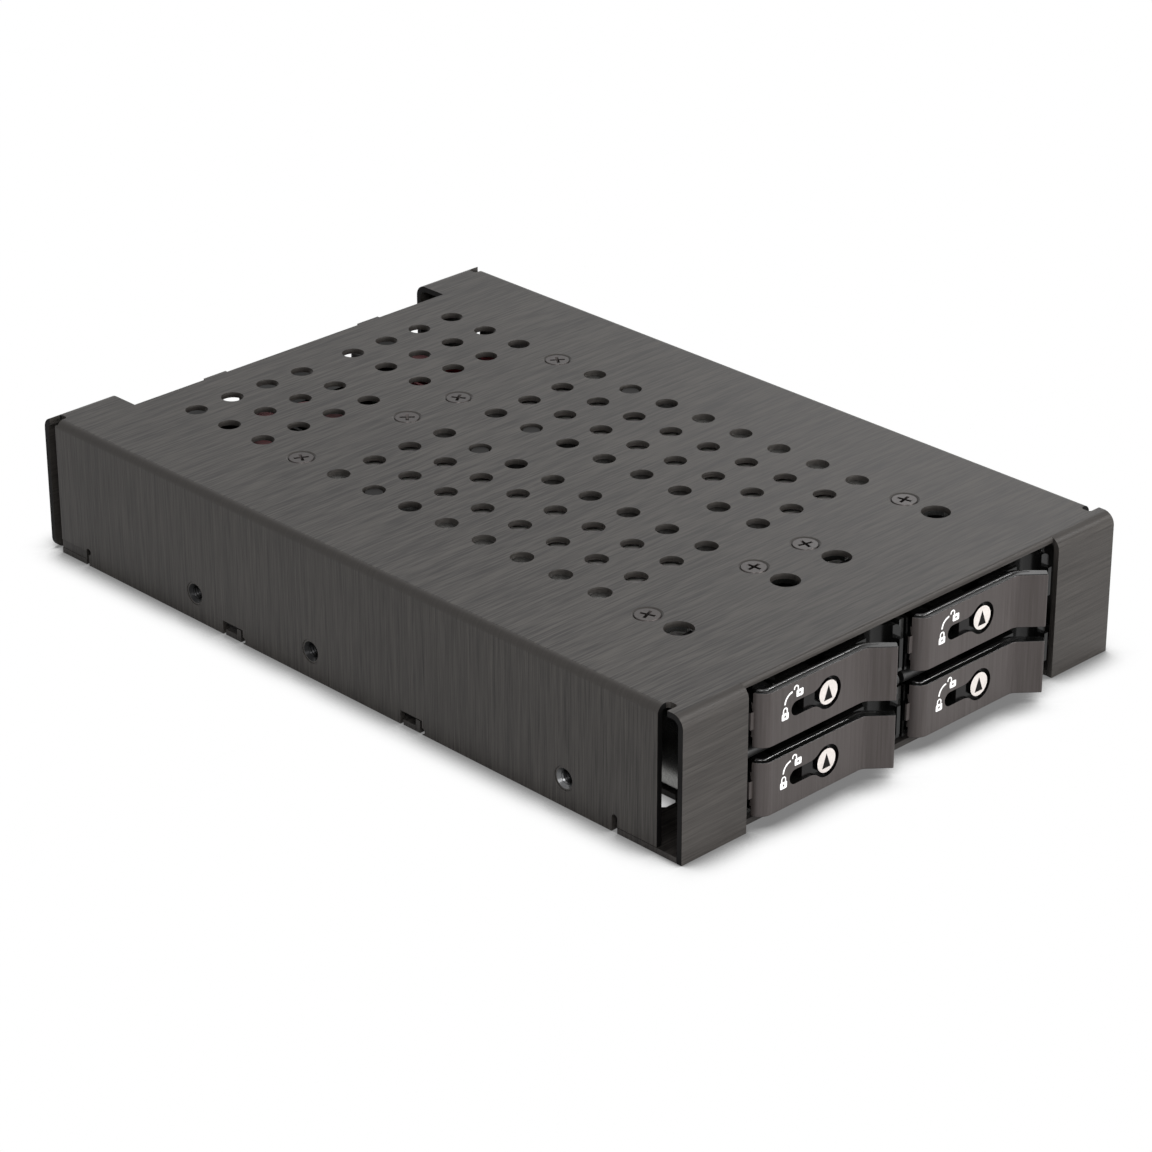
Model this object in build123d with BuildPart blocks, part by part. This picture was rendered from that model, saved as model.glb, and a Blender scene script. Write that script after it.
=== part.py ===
from build123d import *
import math
import os

# Hot swap drive cage for one 3.5 inch bay: a brushed sheet metal cover and bottom plate
# around two bay columns of two slots, with four pull-out card trays, each with a swing
# lever and a turn lock, and a board with the connectors at the rear. Millimetres.
# X is to the right seen from the front, Y runs to the back, Z is up. The origin is on
# the floor, under the centre of the whole depth with the levers closed.

# Outer form: the width and height of a 3.5 inch bay device
WIDTH = 101.6
HEIGHT = 25.4
COVER_LENGTH = 155.5
LEVER_REACH = 4.5
SHEET = 1.0
FRONT_Y = LEVER_REACH - (COVER_LENGTH + LEVER_REACH) / 2
REAR_Y = FRONT_Y + COVER_LENGTH

# Clearances
FIT = 0.1
SLIDE_FIT = 0.3
RUN_FIT = 0.05
PIVOT_FIT = 0.25

# Cage: two bay columns beside one web, two slots above each other
WEB = 1.0
BAY_WIDTH = 35.3
CAGE_SHEET = 0.8
CAGE_BEND = 1.0
CAGE_LIP = 8.0
SHELF = 2.2
SLOT_HEIGHT = (HEIGHT - 2 * SHEET - 2 * CAGE_SHEET - SHELF) / 2
BAY_X = (WEB + BAY_WIDTH) / 2
CAGE_X = WEB / 2 + BAY_WIDTH + CAGE_SHEET
LOWER_Z = SHEET + CAGE_SHEET + SLOT_HEIGHT / 2
UPPER_Z = LOWER_Z + SLOT_HEIGHT + SHELF
SHELF_Z = LOWER_Z + SLOT_HEIGHT / 2
CAGE_SETBACK = 3.0
CAGE_FRONT_Y = FRONT_Y + CAGE_SETBACK
REAR_SPACE = 39.0
CAGE_LENGTH = COVER_LENGTH - CAGE_SETBACK - REAR_SPACE
CAGE_REAR_Y = CAGE_FRONT_Y + CAGE_LENGTH
REAR_LIP = 4.8
SHELF_SETBACK = 1.2
SHELF_FRONT_Y = FRONT_Y + SHELF_SETBACK
SHELF_END = 2.0
SHELF_END_Y = CAGE_REAR_Y - CAGE_SHEET - SHELF_END
SHELF_WINDOW_WIDTH = 18.0
SHELF_WINDOW_INSET = (27.8, 10.7)
SHELF_WINDOW_FRONT_Y = SHELF_FRONT_Y + SHELF_WINDOW_INSET[0]
SHELF_WINDOW_REAR_Y = SHELF_END_Y - SHELF_WINDOW_INSET[1]
SHELF_WINDOW_CORNER = 3.0
SHELF_TAB = 6.0
SHELF_TAB_INSET = (27.5, 36.0)
SHELF_TABS = (CAGE_FRONT_Y + SHELF_TAB_INSET[0], CAGE_REAR_Y - SHELF_TAB_INSET[1])
TAB_SHIFT = 12.0

# Cover: bends, reliefs, side walls and the rear notch between its ears
SIDE_BEND = 1.5
FLANGE_BEND = 2.2
FLANGE_WIDTH = WIDTH / 2 - CAGE_X
FRONT_GAP = 5.3
REAR_GAP = 3.0
SIDE_FRONT_Y = FRONT_Y + FRONT_GAP
SIDE_REAR_Y = REAR_Y - REAR_GAP
RELIEF_DEPTH = 2.4
RELIEF_WIDTH = 2.0
RELIEF_END = 0.6
TOP_SETBACK = 1.3
TOP_EDGE = 0.6
NOTCH_DEPTH = 7.4
NOTCH_TAB = (5.0, 0.5)
EAR_CORNER = 2.0

# Round vents and cover screws share one grid in each bay column
VENT_R = 2.0
VENT_SPACING = 8.06
VENT_COLUMNS = 4
SCREW_OFFSET = 1.5 * VENT_SPACING
SCREW_INSET = (27.9, 5.7)
SCREW_FRONT_Y = FRONT_Y + SCREW_INSET[0]
SCREW_REAR_Y = CAGE_REAR_Y - SCREW_INSET[1]
MAIN_ROWS = 8
MAIN_INSET = (10.54, 9.64)
MAIN_FRONT_Y = SCREW_FRONT_Y + MAIN_INSET[0]
MAIN_REAR_Y = SCREW_REAR_Y - MAIN_INSET[1]
MAIN_CENTRE_Y = (MAIN_FRONT_Y + MAIN_REAR_Y) / 2
VENT_ROW_SPACING = (MAIN_REAR_Y - MAIN_FRONT_Y) / (MAIN_ROWS - 1)
REAR_ROWS = 3
REAR_GRID_OFFSET = 19.05
REAR_CENTRE_Y = SCREW_REAR_Y + REAR_GRID_OFFSET
SCREW_HEAD_R = 2.45
SCREW_R = 1.2
SCREW_HEAD = SHEET - FIT
SCREW_ANGLE = 2 * math.degrees(math.atan((SCREW_HEAD_R - SCREW_R) / SCREW_HEAD))
SCREW_LENGTH = 2.8
THREAD_R = SCREW_R + RUN_FIT
PLAIN_HOLE_R = 2.5
PLAIN_HOLE_OFFSET = 6.9
PLAIN_HOLE_Y = SCREW_FRONT_Y - PLAIN_HOLE_OFFSET
INNER_HOLE_Y = MAIN_CENTRE_Y + 1.5 * VENT_ROW_SPACING

# Side mounting holes with clinch nuts, at the two spans of a 3.5 inch bay device
SIDE_HOLE_Z = 5.0
SIDE_HOLE_INSET = 25.5
SIDE_HOLE_FRONT_Y = FRONT_Y + SIDE_HOLE_INSET
SIDE_HOLE_PAIR = 60.0
SIDE_HOLE_SPAN = 90.0
NUT_R = 3.0
NUT_DEPTH = 2.0
NUT_SHANK_R = 2.1
NUT_BORE_R = 1.25
NUT_MOUTH = 0.5

# Lower edge of the side walls, and the bottom plate that hooks into it
HOOK_INSET = (58.3, 13.4)
HOOK_FRONT_Y = (FRONT_Y + HOOK_INSET[0], CAGE_REAR_Y - HOOK_INSET[1])
HOOK_LENGTH = 5.2
HOOK_HEIGHT = 2.5
HOOK_TAIL_R = 0.6
WING_INSET = 9.1
WING_Y = SIDE_FRONT_Y + WING_INSET
WING_SLOT = (1.2, 2.5)
LIP_INSET = 7.5
LIP_Y = SIDE_REAR_Y - LIP_INSET
LIP_HEIGHT = 2.6
LIP_NOTCH_R = 0.6
PLATE_SETBACK = 1.7
PLATE_X = WIDTH / 2 - SHEET - FIT
SIDE_WINDOW_BAR = 5.0
SIDE_WINDOW_WIDTH = 5.5
SIDE_WINDOW_RIM = 0.45
SIDE_WINDOW_X = CAGE_X + SIDE_WINDOW_WIDTH / 2 + SIDE_WINDOW_RIM
SIDE_WINDOW_INSET = 7.8
SIDE_WINDOW_REST = 1.6
SIDE_WINDOW_FRONT_Y = SIDE_FRONT_Y + SIDE_WINDOW_INSET
SIDE_WINDOW_SPACING = (CAGE_REAR_Y + SIDE_WINDOW_REST - SIDE_WINDOW_FRONT_Y) / 3
SIDE_WINDOW_LENGTH = SIDE_WINDOW_SPACING - SIDE_WINDOW_BAR
SIDE_WINDOW_CHAMFER = 1.7
FLOOR_SLOT_WIDTH = 16.0
FLOOR_SLOT_HEIGHT = 7.0
FLOOR_SLOT_INSET = (23.0, 15.5)
FLOOR_SLOT_FRONT_Y = CAGE_FRONT_Y + FLOOR_SLOT_INSET[0]
FLOOR_SLOT_REAR_Y = CAGE_REAR_Y - FLOOR_SLOT_INSET[1]
FLOOR_SLOT_Y = (FLOOR_SLOT_FRONT_Y + FLOOR_SLOT_REAR_Y) / 2
FLOOR_SLOT_SPACING = (FLOOR_SLOT_REAR_Y - FLOOR_SLOT_FRONT_Y) / 3

# Tray, in its own bay: x from the bay's centre, y from the cover's front face, z from
# the middle of the slot
TRAY_X = BAY_WIDTH / 2 - SLIDE_FIT
TRAY_Z = SLOT_HEIGHT / 2 - SLIDE_FIT
TRAY_REST = 7.0
TRAY_END = CAGE_LENGTH - TRAY_REST
TRAY_WALL = 1.3
RUNNER = 3.4
RUNNER_HEIGHT = 1.1
TRAY_FLOOR = 1.0
RIB = 1.2
CARD_WIDTH = 22.4
CARD_LENGTH = 75.0
CARD_X = CARD_WIDTH / 2
LID_PLATE = 1.0
LID_PAD = 1.2
LID_Z = TRAY_Z - LID_PAD - LID_PLATE
FLOOR_TOP = RUNNER_HEIGHT + TRAY_FLOOR - TRAY_Z
CARD_HEIGHT = LID_Z - FLOOR_TOP
CARD_FRONT = TRAY_END - CARD_LENGTH
BLOCK_DEPTH = 6.5
LID_X = CARD_X + RIB
LID_PAD_X = LID_X - 2.1
BOSS_R = 2.3
BOSS_X = LID_X + 1.5
BOSS_INSET = 5.0
LID_SCREW_R = 0.9
LID_SCREW_HEAD = 0.8
LID_SCREW_LENGTH = 4.5
STUD_R = 2.4

# Tray bezel
BEZEL_FACE = 1.1
BEZEL_BACK = 5.6
BEZEL_CORNER = 1.5
SCOOP_R = 3.4
SCOOP_CENTRE = (12.3, -0.2)
GRIP_TAB = (15.1, 16.5)
GRIP_TAB_FRONT = -0.2
GRIP_TAB_HEIGHT = 5.1
TONGUE = (2.0, 0.23 * (CARD_FRONT - BLOCK_DEPTH - BEZEL_BACK), 4.0)

# Lever: a flat plate that flares forwards at its free end
LEVER_HEIGHT = 9.5
LEVER_FACE = -1.15
LEVER_THICK = 2.0
LEVER_BACK = LEVER_FACE + LEVER_THICK
PIVOT_Y = 1.4
KNUCKLE_R = PIVOT_Y - LEVER_FACE
KNUCKLE_INSET = 0.7
PIVOT_X = KNUCKLE_R + KNUCKLE_INSET - TRAY_X
FLARE_X = 6.6
TIP_X = 10.4
TIP_Y = -LEVER_REACH
TIP_THICK = (1.1, 1.2)
FLARE_BACK_X = FLARE_X + 0.8
PIN_R = 0.75
EAR_R = 1.5
EAR_THICK = 1.4
EAR_CLEAR = 1.8
CAM_R = TRAY_X + PIVOT_X
CAM_HEIGHT = 3.0

# Turn lock and status window in the lever
LOCK_X = -1.65
LOCK_DISC_R = 2.05
LOCK_RING_R = 2.75
LOCK_SINK = 1.0
LOCK_SHAFT_R = 1.4
LOCK_SHAFT = 2.5
TONGUE_LENGTH = 2.9
TONGUE_WIDTH = 1.6
TONGUE_THICK = 0.9
KEEPER = 0.8
LOCK_SIDE_GAP = 0.7
KEEPER_X = LOCK_X + LOCK_SHAFT_R + LOCK_SIDE_GAP
POCKET_LEFT = LOCK_X - LOCK_SHAFT_R - LOCK_SIDE_GAP
POCKET_RIGHT = LOCK_X + TONGUE_LENGTH + LOCK_SIDE_GAP
POCKET_DEPTH = 3.9
SLOT_LEFT = -10.1
SLOT_TALL = 2.5
SLOT_NECK_R = 3.0
LENS_LEFT = -6.8
LENS_THICK = 1.3
ARROW = (1.6, 2.5, 0.3)
PIPE = 1.4
PIPE_X = -5.7
PIPE_ROOM = CARD_FRONT - BLOCK_DEPTH - BEZEL_BACK
PIPE_TURN_START = BEZEL_BACK + 0.25 * PIPE_ROOM
PIPE_TURN_END = BEZEL_BACK + 0.6 * PIPE_ROOM
PIPE_BEND = min(2 * PIPE, 0.3 * PIPE_ROOM)

# Rear boards and connectors
BOARD = 1.6
BACKPLANE_X = CAGE_X - CAGE_SHEET - FIT
BACKPLANE_TOP = 1.2
BACKPLANE_HOLE_Z = 6.5
BACKPLANE_WINDOW = (14.0, 2.0)
SOCKET = (22.0, 7.5, 4.2)
SOCKET_SLOT = (19.8, 4.5, 0.9)
IO_X = 34.0
IO_Z = 9.8
IO_Y = CAGE_REAR_Y + BOARD
IO_SETBACK = 8.5
IO_DEPTH = REAR_Y - IO_SETBACK - IO_Y
STANDOFF_X = 31.2
STANDOFF_INSET = (5.0, 4.9)
STANDOFF_Y = (STANDOFF_INSET[0], IO_DEPTH - STANDOFF_INSET[1])
STANDOFF_R = 2.5
BOARD_SCREW_HEAD = (2.6, 1.6)
BOARD_SCREW_DEPTH = 4.0
DATA_X = 22.0
DATA_SHELL = (12.6, 12.0, 5.0)
DATA_OVERHANG = 4.5
SHELL_WALL = 0.6
POWER_X = 3.2
POWER_BODY = (22.5, 11.0, 5.6)
POWER_OVERHANG = 7.5
CAP_R = 3.15
CAP_HEIGHT = 8.0
CAP_OFFSET = 11.0
CAP_INSET = (18.0, 10.9)
CAP_Y = (IO_DEPTH - CAP_INSET[0], IO_DEPTH - CAP_INSET[1])
LINK = (28.0, 4.0, 3.0)
CHIP = 8.0
CHIP_HEIGHT = 1.0
CHIP_CHAMFER = 0.2
CLIP = (5.0, 12.0, 0.15)
CLIP_RIVET_R = 1.5
CLIP_RIVET_HEAD = 0.6

bays = {
    "upper_left": (-BAY_X, UPPER_Z),
    "upper_right": (BAY_X, UPPER_Z),
    "lower_left": (-BAY_X, LOWER_Z),
    "lower_right": (BAY_X, LOWER_Z),
}
screw_points = [
    (bay_x + side * SCREW_OFFSET, y)
    for bay_x in (-BAY_X, BAY_X)
    for side in (-1, 1)
    for y in (SCREW_FRONT_Y, SCREW_REAR_Y)
]
side_hole_points = [
    (SIDE_HOLE_FRONT_Y + step, SIDE_HOLE_Z) for step in (0, SIDE_HOLE_PAIR, SIDE_HOLE_SPAN)
]
clip_y = MAIN_CENTRE_Y + 2.5 * VENT_ROW_SPACING


def facing(y):
    """The upright plane at this y that looks to the front."""
    return Plane.XZ.offset(-y)


def block(x, y, mode=Mode.ADD):
    """A rectangle of the sketch between two x values and two y values."""
    with Locations(((x[0] + x[1]) / 2, (y[0] + y[1]) / 2)):
        Rectangle(abs(x[1] - x[0]), abs(y[1] - y[0]), mode=mode)


def top_cover():
    """Half of the bent cover is drawn at +X and mirrored."""
    with BuildPart() as cover:
        # Front and rear flanges, each with a rounded bend down from the top
        for face_y, wall_y in ((FRONT_Y, SIDE_FRONT_Y), (REAR_Y, SIDE_REAR_Y)):
            inner_y = face_y + (SHEET if face_y < wall_y else -SHEET)
            with BuildSketch(Plane.YZ.offset(CAGE_X)) as bend:
                block((face_y, wall_y), (0, HEIGHT))
                fillet(bend.vertices().sort_by_distance((face_y, HEIGHT, 0))[0], FLANGE_BEND)
            extrude(amount=FLANGE_WIDTH)
            with BuildSketch(Plane.YZ.offset(CAGE_X)) as hollow:
                block((inner_y, wall_y), (0, HEIGHT - SHEET))
                corner = hollow.vertices().sort_by_distance((inner_y, HEIGHT - SHEET, 0))[0]
                fillet(corner, FLANGE_BEND - SHEET)
            extrude(amount=FLANGE_WIDTH, mode=Mode.SUBTRACT)
        # Top and side wall in one bent section along the depth
        side_length = SIDE_REAR_Y - SIDE_FRONT_Y
        with BuildSketch(facing(SIDE_FRONT_Y)) as outside:
            block((0, WIDTH / 2), (0, HEIGHT))
            fillet(outside.vertices().sort_by_distance((WIDTH / 2, HEIGHT, 0))[0], SIDE_BEND)
        extrude(amount=-side_length)
        with BuildSketch(facing(SIDE_FRONT_Y)) as inside:
            block((0, WIDTH / 2 - SHEET), (0, HEIGHT - SHEET))
            corner = inside.vertices().sort_by_distance((WIDTH / 2, HEIGHT, 0))[0]
            fillet(corner, SIDE_BEND - SHEET)
        extrude(amount=-side_length, mode=Mode.SUBTRACT)
        # Top edge over the levers, between the flanges
        edge_y = FRONT_Y + TOP_SETBACK
        with BuildSketch(Plane.YZ) as lintel:
            block((edge_y, SIDE_FRONT_Y), (HEIGHT - SHEET, HEIGHT))
            fillet(lintel.vertices().sort_by_distance((edge_y, HEIGHT, 0))[0], TOP_EDGE)
        extrude(amount=CAGE_X)
        # Rear notch between the ears, with its small tab, and the four corner reliefs
        with BuildSketch(Plane.XY.offset(HEIGHT)):
            block((0, CAGE_X), (REAR_Y - NOTCH_DEPTH, REAR_Y))
            with Locations((BAY_X, REAR_Y - NOTCH_DEPTH + NOTCH_TAB[1] / 2)):
                Rectangle(NOTCH_TAB[0], NOTCH_TAB[1], mode=Mode.SUBTRACT)
        extrude(amount=-SHEET, mode=Mode.SUBTRACT)
        for relief_y in (SIDE_FRONT_Y - RELIEF_WIDTH / 2, SIDE_REAR_Y + RELIEF_WIDTH / 2 - RELIEF_END):
            with BuildSketch(Plane.XY.offset(HEIGHT)) as relief:
                with Locations((WIDTH / 2 - RELIEF_DEPTH / 2, relief_y)):
                    Rectangle(RELIEF_DEPTH, RELIEF_WIDTH)
                fillet(relief.vertices().group_by(Axis.X)[0], RELIEF_END)
            extrude(amount=-SHEET, mode=Mode.SUBTRACT)
        # Vents, plain holes and countersunk screw holes of the bay column
        with BuildSketch(Plane.XY.offset(HEIGHT)):
            for centre_y, rows in ((MAIN_CENTRE_Y, MAIN_ROWS), (REAR_CENTRE_Y, REAR_ROWS)):
                with Locations((BAY_X, centre_y)):
                    with GridLocations(VENT_SPACING, VENT_ROW_SPACING, VENT_COLUMNS, rows):
                        Circle(VENT_R)
            with Locations((BAY_X, PLAIN_HOLE_Y)):
                with GridLocations(2 * SCREW_OFFSET, 1, 2, 1):
                    Circle(PLAIN_HOLE_R)
        extrude(amount=-SHEET, mode=Mode.SUBTRACT)
        with Locations(*[(x, y, HEIGHT) for x, y in screw_points if x > 0]):
            CounterSinkHole(THREAD_R, SCREW_HEAD_R + FIT + RUN_FIT, 2 * SHEET, SCREW_ANGLE)
        # Holes and lower edge of the side wall
        with BuildSketch(Plane.YZ.offset(WIDTH / 2 - SHEET)):
            with Locations(*side_hole_points):
                Circle(NUT_SHANK_R)
            for hook_y in HOOK_FRONT_Y:
                block((hook_y, hook_y + HOOK_LENGTH), (0, HOOK_HEIGHT))
                with Locations((hook_y, HOOK_TAIL_R)):
                    Circle(HOOK_TAIL_R)
            block((WING_Y - WING_SLOT[0] / 2, WING_Y + WING_SLOT[0] / 2), (0, WING_SLOT[1]))
            with Locations((WING_Y, WING_SLOT[1])):
                Circle(WING_SLOT[0] / 2)
            block((SIDE_FRONT_Y, WING_Y), (0, SHEET + FIT))
            block((LIP_Y, SIDE_REAR_Y), (0, LIP_HEIGHT))
            with Locations((LIP_Y, LIP_HEIGHT)):
                Circle(LIP_NOTCH_R)
        extrude(amount=SHEET, mode=Mode.SUBTRACT)
        ear_corners = cover.edges().filter_by(Axis.Y).filter_by_position(Axis.Y, SIDE_REAR_Y, REAR_Y)
        fillet(ear_corners.sort_by_distance((WIDTH / 2, REAR_Y, 0))[0], EAR_CORNER)
        mirror(about=Plane.YZ)
    cover.part.label = "top_cover"
    export_step(cover.part, "parts/top_cover.step")


def bottom_plate():
    """Half of the flat plate with its wings and hooks is drawn at +X and mirrored."""
    with BuildPart() as plate:
        with BuildSketch(Plane.XY):
            block((0, CAGE_X), (FRONT_Y + PLATE_SETBACK, SIDE_REAR_Y))
            block((CAGE_X, PLATE_X), (FRONT_Y + SHEET + FIT, SIDE_REAR_Y))
            block((PLATE_X, WIDTH / 2), (FRONT_Y + SHEET + FIT, WING_Y - WING_SLOT[0] / 2))
            block((PLATE_X, WIDTH / 2), (LIP_Y + LIP_NOTCH_R + FIT, SIDE_REAR_Y))
            for hook_y in HOOK_FRONT_Y:
                block((PLATE_X, WIDTH / 2 - FIT), (hook_y + 2 * SLIDE_FIT, hook_y + HOOK_LENGTH - 2 * SLIDE_FIT))
        extrude(amount=SHEET)
        # Upturned lips in the notches of the side wall
        with BuildSketch(Plane.YZ.offset(WIDTH / 2 - SHEET)):
            block((LIP_Y + LIP_NOTCH_R + FIT, SIDE_REAR_Y), (0, LIP_HEIGHT - FIT))
            for hook_y in HOOK_FRONT_Y:
                front = hook_y + 2 * SLIDE_FIT
                block((front, front + SHEET), (0, HOOK_HEIGHT - SLIDE_FIT))
        extrude(amount=SHEET - FIT)
        # Weight and air windows, chamfered beside the cage and slotted under the trays
        with BuildSketch(Plane.XY) as windows:
            for step in range(3):
                centre_y = SIDE_WINDOW_FRONT_Y + SIDE_WINDOW_LENGTH / 2 + step * SIDE_WINDOW_SPACING
                with Locations((SIDE_WINDOW_X, centre_y)):
                    Rectangle(SIDE_WINDOW_WIDTH, SIDE_WINDOW_LENGTH)
            chamfer(windows.vertices(), SIDE_WINDOW_CHAMFER)
            with Locations((BAY_X, FLOOR_SLOT_Y)):
                with GridLocations(1, FLOOR_SLOT_SPACING, 1, 3):
                    SlotOverall(FLOOR_SLOT_WIDTH, FLOOR_SLOT_HEIGHT)
        extrude(amount=SHEET, mode=Mode.SUBTRACT)
        with Locations(*[Location((x, y, 0), (180, 0, 0)) for x, y in screw_points if x > 0]):
            CounterSinkHole(THREAD_R, SCREW_HEAD_R + FIT + RUN_FIT, 2 * SHEET, SCREW_ANGLE)
        mirror(about=Plane.YZ)
    plate.part.label = "bottom_plate"
    export_step(plate.part, "parts/bottom_plate.step")


def cage_channel(side, name):
    """Outer wall of one bay column: a C section with a lip for the backplane."""
    wall_x = CAGE_X - CAGE_SHEET
    inside_z = (SHEET + CAGE_SHEET, HEIGHT - SHEET - CAGE_SHEET)
    with BuildPart() as channel:
        with BuildSketch(facing(CAGE_FRONT_Y)) as section:
            block((wall_x - CAGE_LIP, CAGE_X), (SHEET, HEIGHT - SHEET))
            fillet(section.vertices().group_by(Axis.X)[-1], CAGE_BEND)
            block((wall_x - CAGE_LIP, wall_x), inside_z, mode=Mode.SUBTRACT)
        extrude(amount=-CAGE_LENGTH)
        with BuildSketch(facing(CAGE_REAR_Y)):
            block((wall_x - REAR_LIP, wall_x), (inside_z[0] + SLIDE_FIT, inside_z[1] - SLIDE_FIT))
        extrude(amount=CAGE_SHEET)
        with BuildSketch(facing(CAGE_REAR_Y)):
            with Locations((wall_x - REAR_LIP / 2, HEIGHT / 2)):
                with GridLocations(1, HEIGHT - 2 * BACKPLANE_HOLE_Z, 1, 2):
                    Circle(THREAD_R)
        extrude(amount=CAGE_SHEET, mode=Mode.SUBTRACT)
        # Thread holes and clearance holes in both lips
        with BuildSketch(Plane.XY):
            with Locations((BAY_X + SCREW_OFFSET, SCREW_FRONT_Y), (BAY_X + SCREW_OFFSET, SCREW_REAR_Y)):
                Circle(THREAD_R)
            with Locations((BAY_X + SCREW_OFFSET, PLAIN_HOLE_Y), (BAY_X + SCREW_OFFSET, INNER_HOLE_Y)):
                Circle(PLAIN_HOLE_R)
        extrude(amount=HEIGHT, mode=Mode.SUBTRACT)
        with BuildSketch(Plane.XY.offset(HEIGHT / 2)):
            with Locations((BAY_X + SCREW_OFFSET, clip_y)):
                Circle(CLIP_RIVET_R - SLIDE_FIT)
        extrude(amount=HEIGHT / 2, mode=Mode.SUBTRACT)
        # Slots for the shelf's tabs
        with BuildSketch(Plane.YZ.offset(wall_x)):
            for tab_y in SHELF_TABS:
                with Locations((tab_y, SHELF_Z + SHELF / 2)):
                    Rectangle(SHELF_TAB + 2 * FIT, SHELF + 2 * FIT)
        extrude(amount=CAGE_SHEET, mode=Mode.SUBTRACT)
        if side < 0:
            mirror(about=Plane.YZ, mode=Mode.REPLACE)
    channel.part.label = name
    export_step(channel.part, "parts/" + name + ".step")


def cage_divider():
    """The web between the bay columns, with lips at its top and bottom."""
    lip_x = WEB / 2 + CAGE_LIP
    slot_z = (SHEET + CAGE_SHEET, HEIGHT - SHEET - CAGE_SHEET)
    with BuildPart() as divider:
        with BuildSketch(facing(CAGE_FRONT_Y)):
            block((-lip_x, lip_x), (SHEET, HEIGHT - SHEET))
            block((-lip_x, -WEB / 2), slot_z, mode=Mode.SUBTRACT)
            block((WEB / 2, lip_x), slot_z, mode=Mode.SUBTRACT)
        extrude(amount=-CAGE_LENGTH)
        with BuildSketch(facing(FRONT_Y + PLATE_SETBACK)):
            for centre_z in (LOWER_Z, UPPER_Z):
                block((-WEB / 2, WEB / 2), (centre_z - TRAY_Z, centre_z + TRAY_Z))
        extrude(amount=-(CAGE_FRONT_Y - FRONT_Y - PLATE_SETBACK))
        with BuildSketch(Plane.XY):
            for side in (-1, 1):
                hole_x = side * (BAY_X - SCREW_OFFSET)
                with Locations((hole_x, SCREW_FRONT_Y), (hole_x, SCREW_REAR_Y)):
                    Circle(THREAD_R)
                with Locations((hole_x, PLAIN_HOLE_Y), (hole_x, INNER_HOLE_Y)):
                    Circle(PLAIN_HOLE_R)
        extrude(amount=HEIGHT, mode=Mode.SUBTRACT)
        with BuildSketch(Plane.XY.offset(HEIGHT / 2)):
            with Locations((BAY_X - SCREW_OFFSET, clip_y), (SCREW_OFFSET - BAY_X, clip_y)):
                Circle(CLIP_RIVET_R - SLIDE_FIT)
        extrude(amount=HEIGHT / 2, mode=Mode.SUBTRACT)
        with BuildSketch(Plane.YZ.offset(-WEB / 2)):
            for tab_y in SHELF_TABS:
                for shift in (0, TAB_SHIFT):
                    with Locations((tab_y + shift, SHELF_Z + SHELF / 2)):
                        Rectangle(SHELF_TAB + 2 * FIT, SHELF + 2 * FIT)
        extrude(amount=WEB, mode=Mode.SUBTRACT)
    divider.part.label = "cage_divider"
    export_step(divider.part, "parts/cage_divider.step")


def guide_shelf(side, name):
    """Moulded shelf between the two slots of one bay column, with a window for air."""
    near_x = WEB / 2 + RUN_FIT
    far_x = CAGE_X - CAGE_SHEET - RUN_FIT
    with BuildPart() as shelf:
        with BuildSketch(Plane.YZ.offset(near_x)) as section:
            block((SHELF_FRONT_Y, SHELF_END_Y), (SHELF_Z, SHELF_Z + SHELF))
            fillet(section.vertices().group_by(Axis.X)[0], SHELF / 2 - RUN_FIT)
        extrude(amount=far_x - near_x)
        inner_shift = TAB_SHIFT if side < 0 else 0
        with BuildSketch(Plane.XY.offset(SHELF_Z)):
            for tab_y in SHELF_TABS:
                block((far_x, CAGE_X - RUN_FIT), (tab_y - SHELF_TAB / 2, tab_y + SHELF_TAB / 2))
                inner_y = tab_y + inner_shift
                block((RUN_FIT - WEB / 2, near_x), (inner_y - SHELF_TAB / 2, inner_y + SHELF_TAB / 2))
        extrude(amount=SHELF)
        with BuildSketch(Plane.XY.offset(SHELF_Z)):
            with Locations((BAY_X, (SHELF_WINDOW_FRONT_Y + SHELF_WINDOW_REAR_Y) / 2)):
                window_length = SHELF_WINDOW_REAR_Y - SHELF_WINDOW_FRONT_Y
                RectangleRounded(SHELF_WINDOW_WIDTH, window_length, SHELF_WINDOW_CORNER)
        extrude(amount=SHELF, mode=Mode.SUBTRACT)
        if side < 0:
            mirror(about=Plane.YZ, mode=Mode.REPLACE)
    shelf.part.label = name
    export_step(shelf.part, "parts/" + name + ".step")


def ground_clips():
    """Thin spring strips under the top lips, each with its rivet head in a vent."""
    lip_top = HEIGHT - SHEET
    lip_under = lip_top - CAGE_SHEET
    with BuildPart() as clips:
        for bay_x in (-BAY_X, BAY_X):
            for offset_x in (-SCREW_OFFSET, SCREW_OFFSET):
                with BuildSketch(Plane.XY.offset(lip_under - CLIP[2])):
                    with Locations((bay_x + offset_x, clip_y - CLIP[1] / 3)):
                        Rectangle(CLIP[0], CLIP[1])
                extrude(amount=CLIP[2])
                with BuildSketch(Plane.XY.offset(lip_under)):
                    with Locations((bay_x + offset_x, clip_y)):
                        Circle(CLIP_RIVET_R - SLIDE_FIT - RUN_FIT)
                extrude(amount=CAGE_SHEET)
                with BuildSketch(Plane.XY.offset(lip_top)):
                    with Locations((bay_x + offset_x, clip_y)):
                        Circle(CLIP_RIVET_R)
                extrude(amount=CLIP_RIVET_HEAD)
    clips.part.label = "ground_clips"
    export_step(clips.part, "parts/ground_clips.step")


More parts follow.
